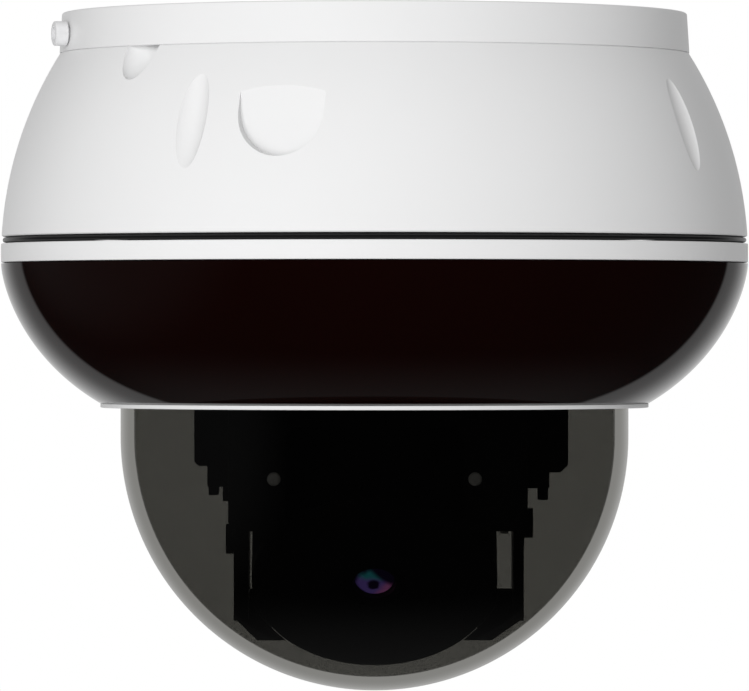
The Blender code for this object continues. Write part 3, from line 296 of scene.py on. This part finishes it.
def around(radius, azimuth, z):
    """The point at an azimuth in degrees, 0 at the front and 90 at the right."""
    angle = radians(azimuth)
    return Vector((radius * sin(angle), -radius * cos(angle), z))


def arc(centre, radius, first, last, steps):
    angles = [radians(first + (last - first) * i / steps) for i in range(steps + 1)]
    return [(centre[0] + radius * cos(a), centre[1] + radius * sin(a)) for a in angles]


def fit(piece, finish, body, slot, *nodes):
    """Gives the piece its finish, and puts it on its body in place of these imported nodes."""
    if finish:
        piece.data.materials.clear()
        piece.data.materials.append(finish)
    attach(piece, body)
    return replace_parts(piece, *nodes) if nodes else piece


base_low, base_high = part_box("mounting_base")
base_r, base_top_r, base_wall, plate_t = base_high.x, base_high.x - 0.7 * MM, 3.6 * MM, 3.0 * MM
lock_azimuth, lock_z = -75, -6.75 * MM
cable_y = 32 * MM  # the cable comes down behind the middle
round_edge, ring_foot = 0.6 * MM, base_low.z - 0.28 * MM
base = turned("mounting_base_cast", [(0, 0)]
              + arc((base_top_r - round_edge, -round_edge), round_edge, 90, 0, 4)
              + [(base_r, ring_foot + 0.1 * MM), (base_r - 0.1 * MM, ring_foot),
                 (base_top_r - base_wall, ring_foot), (base_top_r - base_wall, -plate_t),
                 (0, -plate_t)], 288)
holes = [rod("cable_way", 11 * MM, (0, cable_y, -6 * MM), (0, cable_y, 2 * MM)),
         rod("lock_way", 2.2 * MM, around(86 * MM, lock_azimuth, lock_z),
             around(94 * MM, lock_azimuth, lock_z), 24)]
for azimuth in (60, 180, 300):
    centre = around(base_top_r - 22.1 * MM, azimuth, 0)
    holes.append(rod(f"fixing_way_{azimuth}", 2.6 * MM, centre - Vector((0, 0, 6 * MM)),
                     centre + Vector((0, 0, 2 * MM)), 32))
fit(smooth(boolean(base, "DIFFERENCE", holes)), powder_coat, "casing", "white_paint",
    "mounting_base")

# ---- lock screw ---------------------------------------------------------------------------------
# The stainless socket-head screw that holds the casing on its base. Its head is turned, with a
# knurled rim and a hexagon socket, and its shank goes in through the ring.


def worked_metal(name, color, roughness, metallic, grain=0.15 * MM):
    """Turned or ground metal: fine scratches one way, and faint handling marks."""
    made, wire, place = finish_of(name)
    long_way = wire.node("Mapping", None, {0: place, 3: (1, 1, 12)})
    scratches = noise(wire, long_way, grain, 4.0)
    marks = noise(wire, place, 9 * MM)
    darker = tuple(0.86 * c for c in color)
    surface(wire, scratches, 0.006 * MM,
            Base_Color=marks.blend((*color, 1), (*darker, 1)),
            Roughness=roughness + 0.12 * marks, Metallic=metallic)
    return made


steel = worked_metal("bright_steel", (0.60, 0.60, 0.61), 0.34, 0.55)


def along(start, end):
    """Turns Z to the way from start to end, with the origin at start."""
    start, end = Vector(start), Vector(end)
    return Matrix.Translation(start) @ (end - start).to_track_quat("Z", "Y").to_matrix().to_4x4()


plated = worked_metal("plated_steel", (0.90, 0.90, 0.91), 0.28, 0.15)
head_in = base_r + 0.2 * MM
head_h, head_r = 3.9 * MM, 3.6 * MM
screw_place = along(around(head_in, lock_azimuth, lock_z),
                    around(head_in + 1, lock_azimuth, lock_z))
lock = turned("lock_screw_turned", [
    (0, -6.7 * MM), (1.5 * MM, -6.7 * MM), (1.9 * MM, -6.3 * MM), (1.9 * MM, 0),
    (head_r - 0.3 * MM, 0), (head_r, 0.3 * MM), (head_r, head_h - 0.5 * MM),
    (head_r - 0.12 * MM, head_h - 0.2 * MM), (head_r - 0.5 * MM, head_h), (0, head_h)],
    96, screw_place)
socket_top = around(head_in + head_h + 1 * MM, lock_azimuth, lock_z)
socket_foot = around(head_in + head_h - 2.2 * MM, lock_azimuth, lock_z)
fit(smooth(boolean(lock, "DIFFERENCE", [rod("hexagon", 2.3 * MM, socket_foot, socket_top, 6)])),
    plated, "casing", "steel", "lock_screw")

# ---- upper housing ------------------------------------------------------------------------------
# The die-cast shell that carries everything, powder-coated like the base. Its side is one slow
# curve, with four finger scallops, a flat shield-shaped pad and a deeper scallop under the ring.

housing_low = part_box("upper_housing")[0]
body_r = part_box("trim_band")[1].x
housing_z, neck_z = housing_low.z, -11.7 * MM
widest_z = housing_z - 6.3 * MM
top_point = (base_r, neck_z - 0.4 * MM)  # where the side's curve starts, under the ring
casing_wall = 3.5 * MM
rise, spread = top_point[1] - widest_z, body_r - top_point[0]
bend = (rise**2 + spread**2) / (2 * spread)


def side_arc(wall, lowest, steps):
    """The housing's side, from under the ring down to a level."""
    first, last = (degrees(asin((z - widest_z) / bend)) for z in (top_point[1], lowest))
    return arc((body_r - wall - bend, widest_z), bend, first, last, steps)


def side_r(z):
    return side_arc(0, z, 1)[-1][0]


lower_edge = 0.35 * MM
outer = side_arc(0, housing_z + lower_edge, 44)
neck_r, neck_wall = base_top_r - 5.7 * MM, 4.0 * MM
flange_z = housing_z + 4.4 * MM
flange_in_r = body_r - 17.8 * MM
inner = side_arc(casing_wall, flange_z, 16)[1:]
housing = turned("upper_housing_cast", [
    (0, neck_z), (neck_r - neck_wall, neck_z), (neck_r - neck_wall, neck_z + 5.2 * MM),
    (neck_r, neck_z + 5.2 * MM), (neck_r, neck_z), (top_point[0] - 0.4 * MM, neck_z)]
    + outer + [(outer[-1][0] - lower_edge, housing_z), (0, housing_z)], 288)
hollow = turned("hollow", [(0, neck_z - plate_t), (inner[0][0] - 4 * MM, neck_z - plate_t)]
                + inner + [(flange_in_r, flange_z), (flange_in_r, housing_z - 1 * MM),
                           (0, housing_z - 1 * MM)], 144)


def ellipsoid(name, centre, half_sizes, turn, sides=72):
    shape = bmesh.new()
    bmesh.ops.create_uvsphere(shape, u_segments=sides, v_segments=sides, radius=1)
    shape.transform(Matrix.Translation(centre) @ turn @ Matrix.Diagonal((*half_sizes, 1)))
    return piece_of(name, shape)


def surface_turn(azimuth, upper_z, lower_z):
    """X along the side, Y out of it and Z up along it, between two levels."""
    up = around(side_r(upper_z), azimuth, upper_z) - around(side_r(lower_z), azimuth, lower_z)
    up.normalize()
    side = around(1, azimuth - 90, 0)
    return Matrix((side, up.cross(side), up)).transposed().to_4x4()


def shield(points, near, far, azimuth):
    """A prism with (x, z) points, between two distances from the axis, turned to an azimuth."""
    shape = bmesh.new()
    front = [shape.verts.new((x, -far, z)) for x, z in points]
    back = [shape.verts.new((x, -near, z)) for x, z in points]
    shape.faces.new(front)
    shape.faces.new(back[::-1])
    for i in range(len(points)):
        j = (i + 1) % len(points)
        shape.faces.new((front[j], front[i], back[i], back[j]))
    bmesh.ops.recalc_face_normals(shape, faces=shape.faces)
    shape.transform(Matrix.Rotation(radians(azimuth), 4, "Z"))
    return piece_of("shield", shape)


scoops = []
pad_azimuth, pad_half = -15, 12.5 * MM
pad_top = neck_z - 12.4 * MM
pad_flat = side_r(pad_top)
pad_round_z = pad_top - 7.6 * MM
scoops.append(shield([(pad_half, pad_top + 3 * MM), (-pad_half, pad_top + 3 * MM)]
                     + arc((0, pad_round_z), pad_half, 180, 360, 56),
                     pad_flat, pad_flat + 20 * MM, pad_azimuth))
backing_r, backing_low = pad_half + 3 * MM, pad_round_z - pad_half - 3 * MM
backings = [shield([(backing_r, pad_top + 4 * MM), (-backing_r, pad_top + 4 * MM),
                    (-backing_r, backing_low), (backing_r, backing_low)],
                   pad_flat - casing_wall, pad_flat + 20 * MM, pad_azimuth)]
leaf_top, leaf_low = neck_z - 9.3 * MM, neck_z - 34.9 * MM
leaf_half, leaf_depth = 4.75 * MM, 2.4 * MM
leaf_r = (leaf_half**2 + leaf_depth**2) / (2 * leaf_depth)
leaf_mid, leaf_long = (leaf_top + leaf_low) / 2, (leaf_top - leaf_low) / 2 * 1.35
for azimuth in (-30, 60, 150, 240):
    turn = surface_turn(azimuth, leaf_top, leaf_low)
    out = turn.to_3x3() @ Vector((0, 1, 0))
    centre = around(side_r(leaf_mid), azimuth, leaf_mid) + out * (leaf_r - leaf_depth)
    scoops.append(ellipsoid("leaf", centre, (leaf_r, leaf_r, leaf_long * leaf_r / leaf_half),
                            turn))
scallop_azimuth, scallop_top, scallop_low = -45.5, neck_z - 1 * MM, neck_z - 10 * MM
scallop_centre = around(side_r(scallop_top), scallop_azimuth, neck_z)
scallop_turn = surface_turn(scallop_azimuth, scallop_top, scallop_low)
scallop_half = Vector((6.5, 5.2, 11.2)) * MM
scoops.append(ellipsoid("scallop", scallop_centre, scallop_half, scallop_turn))
wider = scallop_half + Vector((1, 1, 1)) * casing_wall
backings.append(ellipsoid("scallop_backing", scallop_centre, wider, scallop_turn))
notch_azimuth, notch_z = 88, neck_z - 19.5 * MM
scoops += [
    rod("notch", 1.5 * MM, around(side_r(notch_z) - 2 * MM, notch_azimuth, notch_z),
        around(side_r(notch_z) + 4 * MM, notch_azimuth, notch_z), 32),
    rod("gland_way", 8.3 * MM, (0, cable_y, neck_z - 6 * MM), (0, cable_y, neck_z + 2 * MM)),
]
flange_screw_r = body_r - 12.8 * MM
for azimuth in (45, 135, 225, 315):
    scoops.append(rod("flange_way", 1.8 * MM,
                      around(flange_screw_r, azimuth, housing_z - 1 * MM),
                      around(flange_screw_r, azimuth, flange_z + 2 * MM), 24))
boolean(housing, "DIFFERENCE", [boolean(hollow, "DIFFERENCE", backings)] + scoops)
smooth(housing, 12)
# The cuts leave long thin faces, so the side takes its shading from the curve itself.
mesh = housing.data
normals = [Vector(corner.vector) for corner in mesh.corner_normals]
for face in mesh.polygons:
    for corner in face.loop_indices:
        spot = mesh.vertices[mesh.loops[corner].vertex_index].co
        across = hypot(spot.x, spot.y)
        if housing_z + lower_edge / 2 < spot.z < top_point[1] + 0.001 * MM and (
                abs(across - side_r(spot.z)) < 0.03 * MM):
            up_share = (spot.z - widest_z) / bend
            level_share = sqrt(1 - up_share * up_share)
            true = Vector((spot.x / across * level_share, spot.y / across * level_share, up_share))
            if true.dot(face.normal) > cos(radians(4)):
                normals[corner] = true
mesh.normals_split_custom_set(normals)
fit(housing, powder_coat, "casing", "white_paint", "upper_housing")

# ---- gasket stripe and trim band ----------------------------------------------------------------
# A black rubber gasket is squeezed between the housing and a white band, which is turned and
# coated apart from them. The rubber stands a hair inside both.

rubber = moulded("black_rubber", (0.006, 0.006, 0.0065), (0.0045, 0.0045, 0.005), 0.3,
                 grain=0.4 * MM, height=0.008 * MM)
stripe_low, stripe_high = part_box("gasket_stripe")
middle_z, half_h = (stripe_low.z + stripe_high.z) / 2, (stripe_high.z - stripe_low.z) / 2
stripe_in_r, stripe_edge_r = body_r - 8.8 * MM, body_r - 1.2 * MM
fit(turned("gasket_stripe_moulded",
           [(stripe_in_r, stripe_high.z), (stripe_edge_r, stripe_high.z)]
           + [(r - 0.8 * MM, z) for r, z in arc((stripe_high.x, middle_z), half_h, 90, -90, 8)]
           + [(stripe_edge_r, stripe_low.z), (stripe_in_r, stripe_low.z)], 256),
    rubber, "casing", "black_rubber", "gasket_stripe")
band_low, band_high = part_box("trim_band")
edge, band_in_r = 0.35 * MM, body_r - 6.2 * MM
fit(turned("trim_band_turned",
           [(band_in_r, band_high.z)]
           + arc((body_r - edge, band_high.z - edge), edge, 90, 0, 4)
           + arc((body_r - edge, band_low.z + edge), edge, 0, -90, 4)
           + [(band_in_r, band_low.z)], 288),
    powder_coat, "casing", "white_paint", "trim_band")

# ---- infrared window ----------------------------------------------------------------------------
# The bowl is moulded in near-black red plastic that infrared light goes through. It is polished
# all over, and a lip at its foot stands on the dome's ring.

made, wire, place = finish_of("dark_red_window")
flow = noise(wire, place, 45 * MM, 2.0)
polish = noise(wire, place, 4 * MM)
surface(wire, Base_Color=flow.blend((0.0035, 0.0004, 0.0002, 1), (0.0045, 0.0007, 0.0005, 1)),
        Roughness=0.03 + 0.02 * polish, IOR=1.5)
dark_red = made
window_low, window_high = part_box("ir_window")
dome_ring_low, dome_ring_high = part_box("dome_ring")
lip_r, window_h = dome_ring_high.x, window_high.z - window_low.z


def bezier(points, steps):
    found = []
    for i in range(steps + 1):
        t = i / steps
        weights = ((1 - t) ** 3, 3 * t * (1 - t) ** 2, 3 * t * t * (1 - t), t**3)
        found.append(tuple(sum(w * p[axis] for w, p in zip(weights, points)) for axis in (0, 1)))
    return found


upper_handle, lower_handle = 0.115 * window_h, 0.967 * (body_r - lip_r)
bowl = bezier([(body_r, window_high.z), (body_r, window_high.z - upper_handle),
               (lip_r + lower_handle * cos(radians(30.4)),
                window_low.z + lower_handle * sin(radians(30.4))), (lip_r, window_low.z)], 60)
window_wall, flange_t = 3 * MM, 3 * MM
inside = []
for i, (r, z) in enumerate(bowl):
    before, after = Vector(bowl[max(i - 1, 0)]), Vector(bowl[min(i + 1, len(bowl) - 1)])
    way = (after - before).normalized()
    moved = (r + way.y * window_wall, z - way.x * window_wall)
    if window_low.z + 4 * MM < moved[1] < window_high.z - flange_t:
        inside.append(moved)
lip_in_r = lip_r - 4.0 * MM
fit(turned("ir_window_moulded", bowl
           + [(lip_in_r, window_low.z), (lip_in_r, window_low.z + 3 * MM),
              (lip_r - 0.8 * MM, window_low.z + 3 * MM)] + inside[::-1]
           + [(body_r - window_wall, window_high.z - flange_t),
              (body_r - 2 * window_wall, window_high.z - flange_t),
              (body_r - 2 * window_wall, window_high.z)], 288),
    dark_red, "casing", "dark_window", "ir_window")

# ---- dome ring, seal and dome -------------------------------------------------------------------
# A thin white ring is pressed up under the bowl and holds the dome's flange on its seal. The dome
# is blown smoked acrylic, 4 mm thick and tinted through, so the unit inside is hard to see.

ring_top, ring_low = window_low.z - 0.02 * MM, dome_ring_low.z
dome_low, dome_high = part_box("dome_bubble")
dome_wall = 4 * MM
dome_z = -124.3 * MM
dome_r = dome_z - dome_low.z
edge = 0.3 * MM
fit(turned("dome_ring_turned",
           [(lip_r, ring_top)] + arc((lip_r - edge, ring_low + edge), edge, 0, -90, 4)
           + [(dome_r + 0.3 * MM, ring_low), (dome_r + 0.3 * MM, dome_ring_high.z),
              (lip_in_r - 0.3 * MM, dome_ring_high.z), (lip_in_r - 0.3 * MM, ring_top)], 288),
    powder_coat, "casing", "white_paint", "dome_ring")


def dome_face(name, patch, mirror_of):
    """Acrylic that tints what is seen through it. mirror_of gives the share it mirrors."""
    made, wire, place = finish_of(name)
    shine = wire.node("BsdfGlossy", None, {"Color": (1, 1, 1, 1), "Roughness": 0.02})
    film = wire.node("BsdfTransparent", None, {"Color": (0.456, 0.453, 0.438, 1)})
    mirror = mirror_of(wire, noise(wire, place, patch))
    wire.node("OutputMaterial", None,
              {"Surface": wire.node("MixShader", None, {0: mirror, 1: film, 2: shine})})
    return made


def outer_mirror(wire, haze):
    """A polished outside mirrors more at a glance, and nothing from within."""
    facing = wire.node("LayerWeight", None, {"Blend": 0.5}, 1)
    outward = 1 - wire.node("NewGeometry", None, None, 6)
    return (0.038 + 0.004 * haze + 0.5 * facing**5) * outward


def inner_mirror(wire, veil):
    return 0.01 + 0.01 * veil


smoked = dome_face("smoked_acrylic", 30 * MM, outer_mirror)
inner_face = dome_face("dome_inner_face", 18 * MM, inner_mirror)

flange_z, flange_r = -109.2 * MM, dome_r + 3.9 * MM
dome_in_r = dome_r - dome_wall
dome = turned("dome_blown",
              [(0, dome_z - dome_in_r)] + arc((0, dome_z), dome_in_r, -89, 0, 60)
              + [(dome_in_r, dome_high.z), (flange_r, dome_high.z), (flange_r, flange_z),
                 (dome_r, flange_z)]
              + arc((0, dome_z), dome_r, 0, -89, 60) + [(0, dome_z - dome_r)], 256)
dome.data.materials.append(smoked)
dome.data.materials.append(inner_face)
middle_r = (dome_r + dome_in_r) / 2
for face in dome.data.polygons:
    spot = face.center
    drop = min(spot.z - dome_z, 0)
    face.material_index = hypot(hypot(spot.x, spot.y), drop) < middle_r
fit(dome, None, "casing", "smoked_clear", "dome_bubble")

# ---- front mask ---------------------------------------------------------------------------------
# The black plate in front of the arms hides the works and leaves a slot for the lens. Like the
# arms and pods, it is moulded in matt black nylon with a fine spark-eroded grain.

nylon = moulded("black_nylon", (0.0042, 0.0042, 0.0046), (0.0028, 0.0028, 0.0031), 0.42,
                grain=0.35 * MM, height=0.012 * MM, patch=14 * MM, Specular_IOR_Level=0.25)


def eased(name, node, width, segments=3):
    """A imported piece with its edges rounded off."""
    shape = bmesh.new()
    shape.from_mesh(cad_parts[node].data)
    bmesh.ops.remove_doubles(shape, verts=shape.verts, dist=0.002 * MM)
    bmesh.ops.dissolve_limit(shape, angle_limit=radians(1), verts=shape.verts, edges=shape.edges)
    piece = piece_of(name, shape)
    own_normals = piece.data.attributes.get("custom_normal")
    if own_normals:
        piece.data.attributes.remove(own_normals)
    step = piece.modifiers.new("eased_edges", "BEVEL")
    step.width, step.segments, step.limit_method = width, segments, "ANGLE"
    step.angle_limit = radians(32)
    step.use_clamp_overlap = True
    plain_mesh(piece)
    return smooth(piece, 40)


fit(eased("front_mask_moulded", "front_mask", 0.35 * MM), nylon, "pan_unit", "black_plastic",
    "front_mask")

# ---- mask screws --------------------------------------------------------------------------------
# Two small pan-head screws hold the mask to the arms' noses. Their heads are domed, with a cross
# recess.

bright_head = worked_metal("bright_screw_steel", (0.80, 0.80, 0.82), 0.25, 0.45)
for side in ("left", "right"):
    low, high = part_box(f"mask_screw_{side}")
    x, z = (low.x + high.x) / 2, (low.z + high.z) / 2
    head_r, head_front = (high.x - low.x) / 2, low.y
    place = along((x, head_front + 1.4 * MM, z), (x, head_front, z))
    screw = turned(f"mask_screw_{side}_turned",
                   [(0, -2.8 * MM), (1 * MM, -2.8 * MM), (1 * MM, 0), (head_r, 0)]
                   + [(head_r * cos(radians(a)) ** 0.6, 1.4 * MM * sin(radians(a)))
                      for a in (10, 25, 40, 55, 70, 82)] + [(0, 1.4 * MM)], 40, place)
    arms = []
    for length, width in ((1.1 * MM, 0.25 * MM), (0.25 * MM, 1.1 * MM)):
        shape = bmesh.new()
        bmesh.ops.create_cube(shape, size=2)
        shape.transform(Matrix.Translation((x, head_front, z))
                        @ Matrix.Diagonal((length, 0.8 * MM, width, 1)))
        arms.append(piece_of("recess", shape))
    fit(smooth(boolean(screw, "DIFFERENCE", arms)), bright_head, "pan_unit", "steel",
        f"mask_screw_{side}")

# ---- arms, pods and cowl ------------------------------------------------------------------------
# The two arms hang from the turntable and carry the drum on its axles. The pods outside them
# cover the wiring and the tilt motor, and a curved cowl closes the back.

for node, width in (("arm_left", 0.3), ("arm_right", 0.3), ("side_pod_left", 0.35),
                    ("side_pod_right", 0.35), ("rear_cowl", 0.3), ("turntable", 0.5)):
    fit(eased(f"{node}_moulded", node, width * MM), nylon, "pan_unit", "black_plastic", node)

# ---- drum and lens ------------------------------------------------------------------------------
# The drum turns on the tilt axis. Its face and shell are one moulding, and a cup closes its back.
# A ridged bezel round the lens keeps stray light out of the front glass.

tilt_z, face_out = -150 * MM, 24.3 * MM
lens_place = Matrix.Translation((0, 0, tilt_z)) @ Matrix.Rotation(radians(135), 4, "X")
drum_r, lens_r, drum_wall, drum_back = 35.9 * MM, 9.2 * MM, 2.5 * MM, -4.0 * MM
round_edge = 1.2 * MM
fit(turned("drum_shell_moulded",
           [(lens_r + 0.3 * MM, face_out)]
           + arc((drum_r - round_edge, face_out - round_edge), round_edge, 90, 0, 8)
           + [(drum_r, drum_back), (drum_r - drum_wall, drum_back),
              (drum_r - drum_wall, face_out - drum_wall),
              (lens_r + 0.3 * MM, face_out - drum_wall)], 160, lens_place),
    nylon, "tilt_unit", "black_plastic", "drum_shell")
back, cup_r, cup_low = drum_back - 0.3 * MM, drum_r - 5.9 * MM, -16 * MM
fit(turned("drum_rear_cover_moulded",
           [(0, cup_low + 2 * MM), (cup_r - 2 * MM, cup_low + 2 * MM), (cup_r - 2 * MM, back),
            (drum_r - 0.4 * MM, back), (drum_r - 0.4 * MM, back - 2 * MM), (cup_r, back - 2 * MM)]
           + arc((cup_r - 3 * MM, cup_low + 3 * MM), 3 * MM, 0, -90, 8) + [(0, cup_low)],
           160, lens_place),
    nylon, "tilt_unit", "black_plastic", "drum_rear_cover")

bezel_front, bezel_in_r = face_out + 0.4 * MM, 7.0 * MM
ridges = []
ridge_count, ridge_h = 5, 0.35 * MM
for ridge in range(ridge_count):
    r = lens_r - 0.5 * MM - ridge * 0.34 * MM
    ridges += [(r, bezel_front), (r - 0.17 * MM, bezel_front - ridge_h)]
fit(turned("lens_bezel_turned",
           [(bezel_in_r, face_out - drum_wall), (lens_r, face_out - drum_wall),
            (lens_r, bezel_front - 0.5 * MM)] + ridges
           + [(bezel_in_r, bezel_front - 0.6 * MM)], 96, lens_place),
    nylon, "tilt_unit", "black_plastic", "lens_bezel")

anodised = moulded("black_anodised", (0.012, 0.012, 0.013), (0.009, 0.009, 0.010), 0.32,
                   grain=0.12 * MM, height=0.004 * MM, patch=5 * MM, Metallic=0.3)
barrel_r, barrel_front, barrel_back = 6.6 * MM, face_out - 0.2 * MM, 3 * MM
glass_r = barrel_r - 0.8 * MM
fit(turned("lens_barrel_turned",
           [(barrel_r, barrel_front - 0.3 * MM), (barrel_r, barrel_back),
            (glass_r - 1.5 * MM, barrel_back), (glass_r - 1.5 * MM, barrel_front - 5 * MM),
            (glass_r + 0.3 * MM, barrel_front - 5 * MM), (glass_r + 0.3 * MM, barrel_front - MM),
            (glass_r + 0.5 * MM, barrel_front), (barrel_r - 0.3 * MM, barrel_front)],
           96, lens_place),
    anodised, "lens_group", "black_plastic", "lens_barrel")

# The front glass is a ground meniscus whose coating mirrors blue, violet and a little magenta round a
# black pupil. These reflections are painted: the glass gives them out as emission, though it is no
# lamp.
glass, wire, place = finish_of("coated_glass")
centred = wire.node("Mapping", {"vector_type": "TEXTURE"},
                    {0: place, 1: (0, 0, tilt_z), 2: (radians(135), 0, 0)})
parts = wire.node("SeparateXYZ", None, {0: centred})
x, y = (Wire(wire.tree, parts.socket.node.outputs[axis]) for axis in "XY")
right_share, up_share = x * (1 / glass_r), y * (1 / glass_r)
swirl = 0.5 * noise(wire, place, 4 * MM) - 0.25
out_share = (right_share**2 + up_share**2) ** 0.5 + swirl
sides = (right_share - up_share * 0.6 + swirl).above(0.25, 0.9)
# Painted reflection colours: violet on the left and low, magenta to the lower right and teal at the
# top.
rim = sides.blend((0.09, 0.055, 0.24, 1), (0.27, 0.08, 0.22, 1))
rim = (up_share + swirl).above(0.1, 0.6).blend(rim, (0.015, 0.14, 0.16, 1))
# The painted reflection lies in a ring round the pupil, and is left out at the upper right.
painted_reflection_band = out_share.above(0.2, 0.42) * (1 - out_share.above(0.7, 1.0))
painted_reflection_band = painted_reflection_band * (1 - (right_share + up_share).above(0.45, 0.9))
painted_coating_reflection = painted_reflection_band.blend((0.004, 0.001, 0.012, 1), rim)
# The painted reflection is emitted, so the glass glows though it is no lamp.
surface(wire, Base_Color=(0.004, 0.004, 0.008, 1), Roughness=0.02 + 0.01 * painted_reflection_band,
        Emission_Color=painted_coating_reflection, Emission_Strength=1.0)
glass_low, bulge = barrel_front - 3.6 * MM, 2.8 * MM
fit(turned("front_lens_ground",
           [(0, glass_low), (glass_r, glass_low)]
           + [(glass_r * cos(radians(a)), glass_low + 1.6 * MM + bulge * sin(radians(a)))
              for a in range(0, 90, 5)] + [(0, glass_low + 1.6 * MM + bulge)], 96, lens_place),
    glass, "lens_group", "coated_glass", "front_lens")

# ---- infrared lamps -----------------------------------------------------------------------------
# Twelve lamps stand on a ring-shaped board behind the window, under one black carrier with a
# clear lens over each.

carrier_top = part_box("ir_lens_ring")[1].z
carrier_in, carrier_out = body_r - 23.8 * MM, body_r - 13.8 * MM
flat_low = carrier_top - 2.5 * MM
lens_shape = turned("lamp_lens", [(0, 0)] + [(3.2 * MM * cos(radians(a)), -1.8 * MM * sin(radians(a)))
                                             for a in range(0, 90, 10)] + [(0, -1.8 * MM)], 20)
carrier = turned("ir_lamps_moulded", [(carrier_out, carrier_top), (carrier_out, flat_low),
                                      (carrier_in, flat_low), (carrier_in, carrier_top)], 128)
lamp_clear = moulded("lamp_lens_clear", (0.42, 0.43, 0.44), (0.36, 0.37, 0.38), 0.1,
                     grain=1 * MM, height=0.002 * MM, patch=6 * MM)


def node_tree(name, *inputs):
    """A Geometry Nodes tree with a geometry in and out, and these named numbers."""
    tree = bpy.data.node_groups.new(name, "GeometryNodeTree")
    tree.interface.new_socket("Geometry", in_out="INPUT", socket_type="NodeSocketGeometry")
    tree.interface.new_socket("Geometry", in_out="OUTPUT", socket_type="NodeSocketGeometry")
    for label, kind in inputs:
        tree.interface.new_socket(label, in_out="INPUT", socket_type="NodeSocket" + kind)

    def node(kind, settings=None, sockets=None):
        made = tree.nodes.new(kind)
        for key, value in (settings or {}).items():
            setattr(made, key, value)
        for key, value in (sockets or {}).items():
            if isinstance(value, bpy.types.NodeSocket):
                tree.links.new(value, made.inputs[key])
            else:
                made.inputs[key].default_value = value
        return made

    return tree, node


def grow(piece, tree, values):
    """Runs the tree on the piece with these inputs, and keeps the result as a plain mesh."""
    step = piece.modifiers.new(tree.name, "NODES")
    step.node_group = tree
    sockets = {s.name: s.identifier for s in tree.interface.items_tree if s.in_out == "INPUT"}
    for label, value in values.items():
        step[sockets[label]] = value
    return plain_mesh(piece)


ring_tree, node = node_tree("repeat_round_a_circle", ("Shape", "Object"), ("Count", "Int"),
                            ("Radius", "Float"), ("Level", "Float"), ("First", "Float"),
                            ("Finish", "Material"))
inputs = node("NodeGroupInput").outputs
circle = node("GeometryNodeMeshCircle", None,
              {"Vertices": inputs["Count"], "Radius": inputs["Radius"]})
start = node("ShaderNodeCombineXYZ", None, {"Z": inputs["First"]})
height = node("ShaderNodeCombineXYZ", None, {"Z": inputs["Level"]})
placed = node("GeometryNodeTransform", None,
              {"Geometry": circle.outputs[0], "Translation": height.outputs[0],
               "Rotation": start.outputs[0]})
info = node("GeometryNodeObjectInfo", None, {"Object": inputs["Shape"]})
copies = node("GeometryNodeInstanceOnPoints", None,
              {"Points": placed.outputs[0], "Instance": info.outputs["Geometry"]})
real = node("GeometryNodeRealizeInstances", None, {0: copies.outputs[0]})
coloured = node("GeometryNodeSetMaterial", None,
                {"Geometry": real.outputs[0], "Material": inputs["Finish"]})
both = node("GeometryNodeJoinGeometry")
ring_tree.links.new(coloured.outputs[0], both.inputs[0])
ring_tree.links.new(inputs["Geometry"], both.inputs[0])
ring_tree.links.new(both.outputs[0], node("NodeGroupOutput").inputs[0])
carrier.data.materials.append(nylon)
grow(carrier, ring_tree, {"Shape": lens_shape, "Count": 12, "Level": flat_low,
                          "Radius": (carrier_in + carrier_out) / 2, "First": radians(15),
                          "Finish": lamp_clear})
bpy.data.objects.remove(lens_shape)
fit(smooth(carrier), None, "casing", "black_plastic", "ir_lens_ring")

# ---- works behind the shells --------------------------------------------------------------------
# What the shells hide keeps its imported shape: the chassis plate with its screws, the boards on
# their brass posts, the gland, the bearing, gears, motors and slip ring, each in its own finish.

aluminium = worked_metal("bare_aluminium", (0.62, 0.63, 0.64), 0.36, 0.9)
brass = worked_metal("turned_brass", (0.60, 0.44, 0.20), 0.28, 0.95)
acetal = moulded("white_acetal", (0.72, 0.71, 0.67), (0.69, 0.68, 0.63), 0.38)

solder_mask, wire, place = finish_of("green_solder_mask")
cell = wire.node("TexVoronoi", {"feature": "F1"}, {"Vector": place, "Scale": 1 / (4 * MM)})
pads = 1 - cell.above(0.16, 0.22)
tracks = wire.node("TexWave", {"bands_direction": "DIAGONAL"},
                   {"Vector": place, "Scale": 1 / (9 * MM), "Distortion": 3.0}, 1).above(0.8, 0.9)
green = tracks.blend((0.02, 0.13, 0.055, 1), (0.03, 0.19, 0.08, 1))
surface(wire, tracks, 0.03 * MM, Base_Color=pads.blend(green, (0.62, 0.55, 0.36, 1)),
        Roughness=0.42 - 0.12 * pads, Metallic=pads * 0.8)

works = {
    aluminium: ["chassis_plate", "bearing_housing", "image_board"],
    brass: ["board_post_1", "board_post_2", "board_post_3", "ir_post_1", "ir_post_2",
            "ir_post_3", "pan_pinion", "tilt_pinion", "tilt_bush_left", "tilt_bush_right",
            "slip_ring_rotor"],
    steel: ["chassis_screw_1", "chassis_screw_2", "chassis_screw_3", "chassis_screw_4",
            "pan_bearing", "pan_motor", "tilt_motor", "tilt_axle_left", "tilt_axle_right"],
    acetal: ["pan_gear", "tilt_gear"],
    nylon: ["cable_gland", "gland_nut", "slip_ring_stator"],
    rubber: ["dome_seal"],
    solder_mask: ["main_board", "ir_board"],
}
for finish, names in works.items():
    for name in names:
        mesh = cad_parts[name].data
        mesh.materials.clear()
        mesh.materials.append(finish)
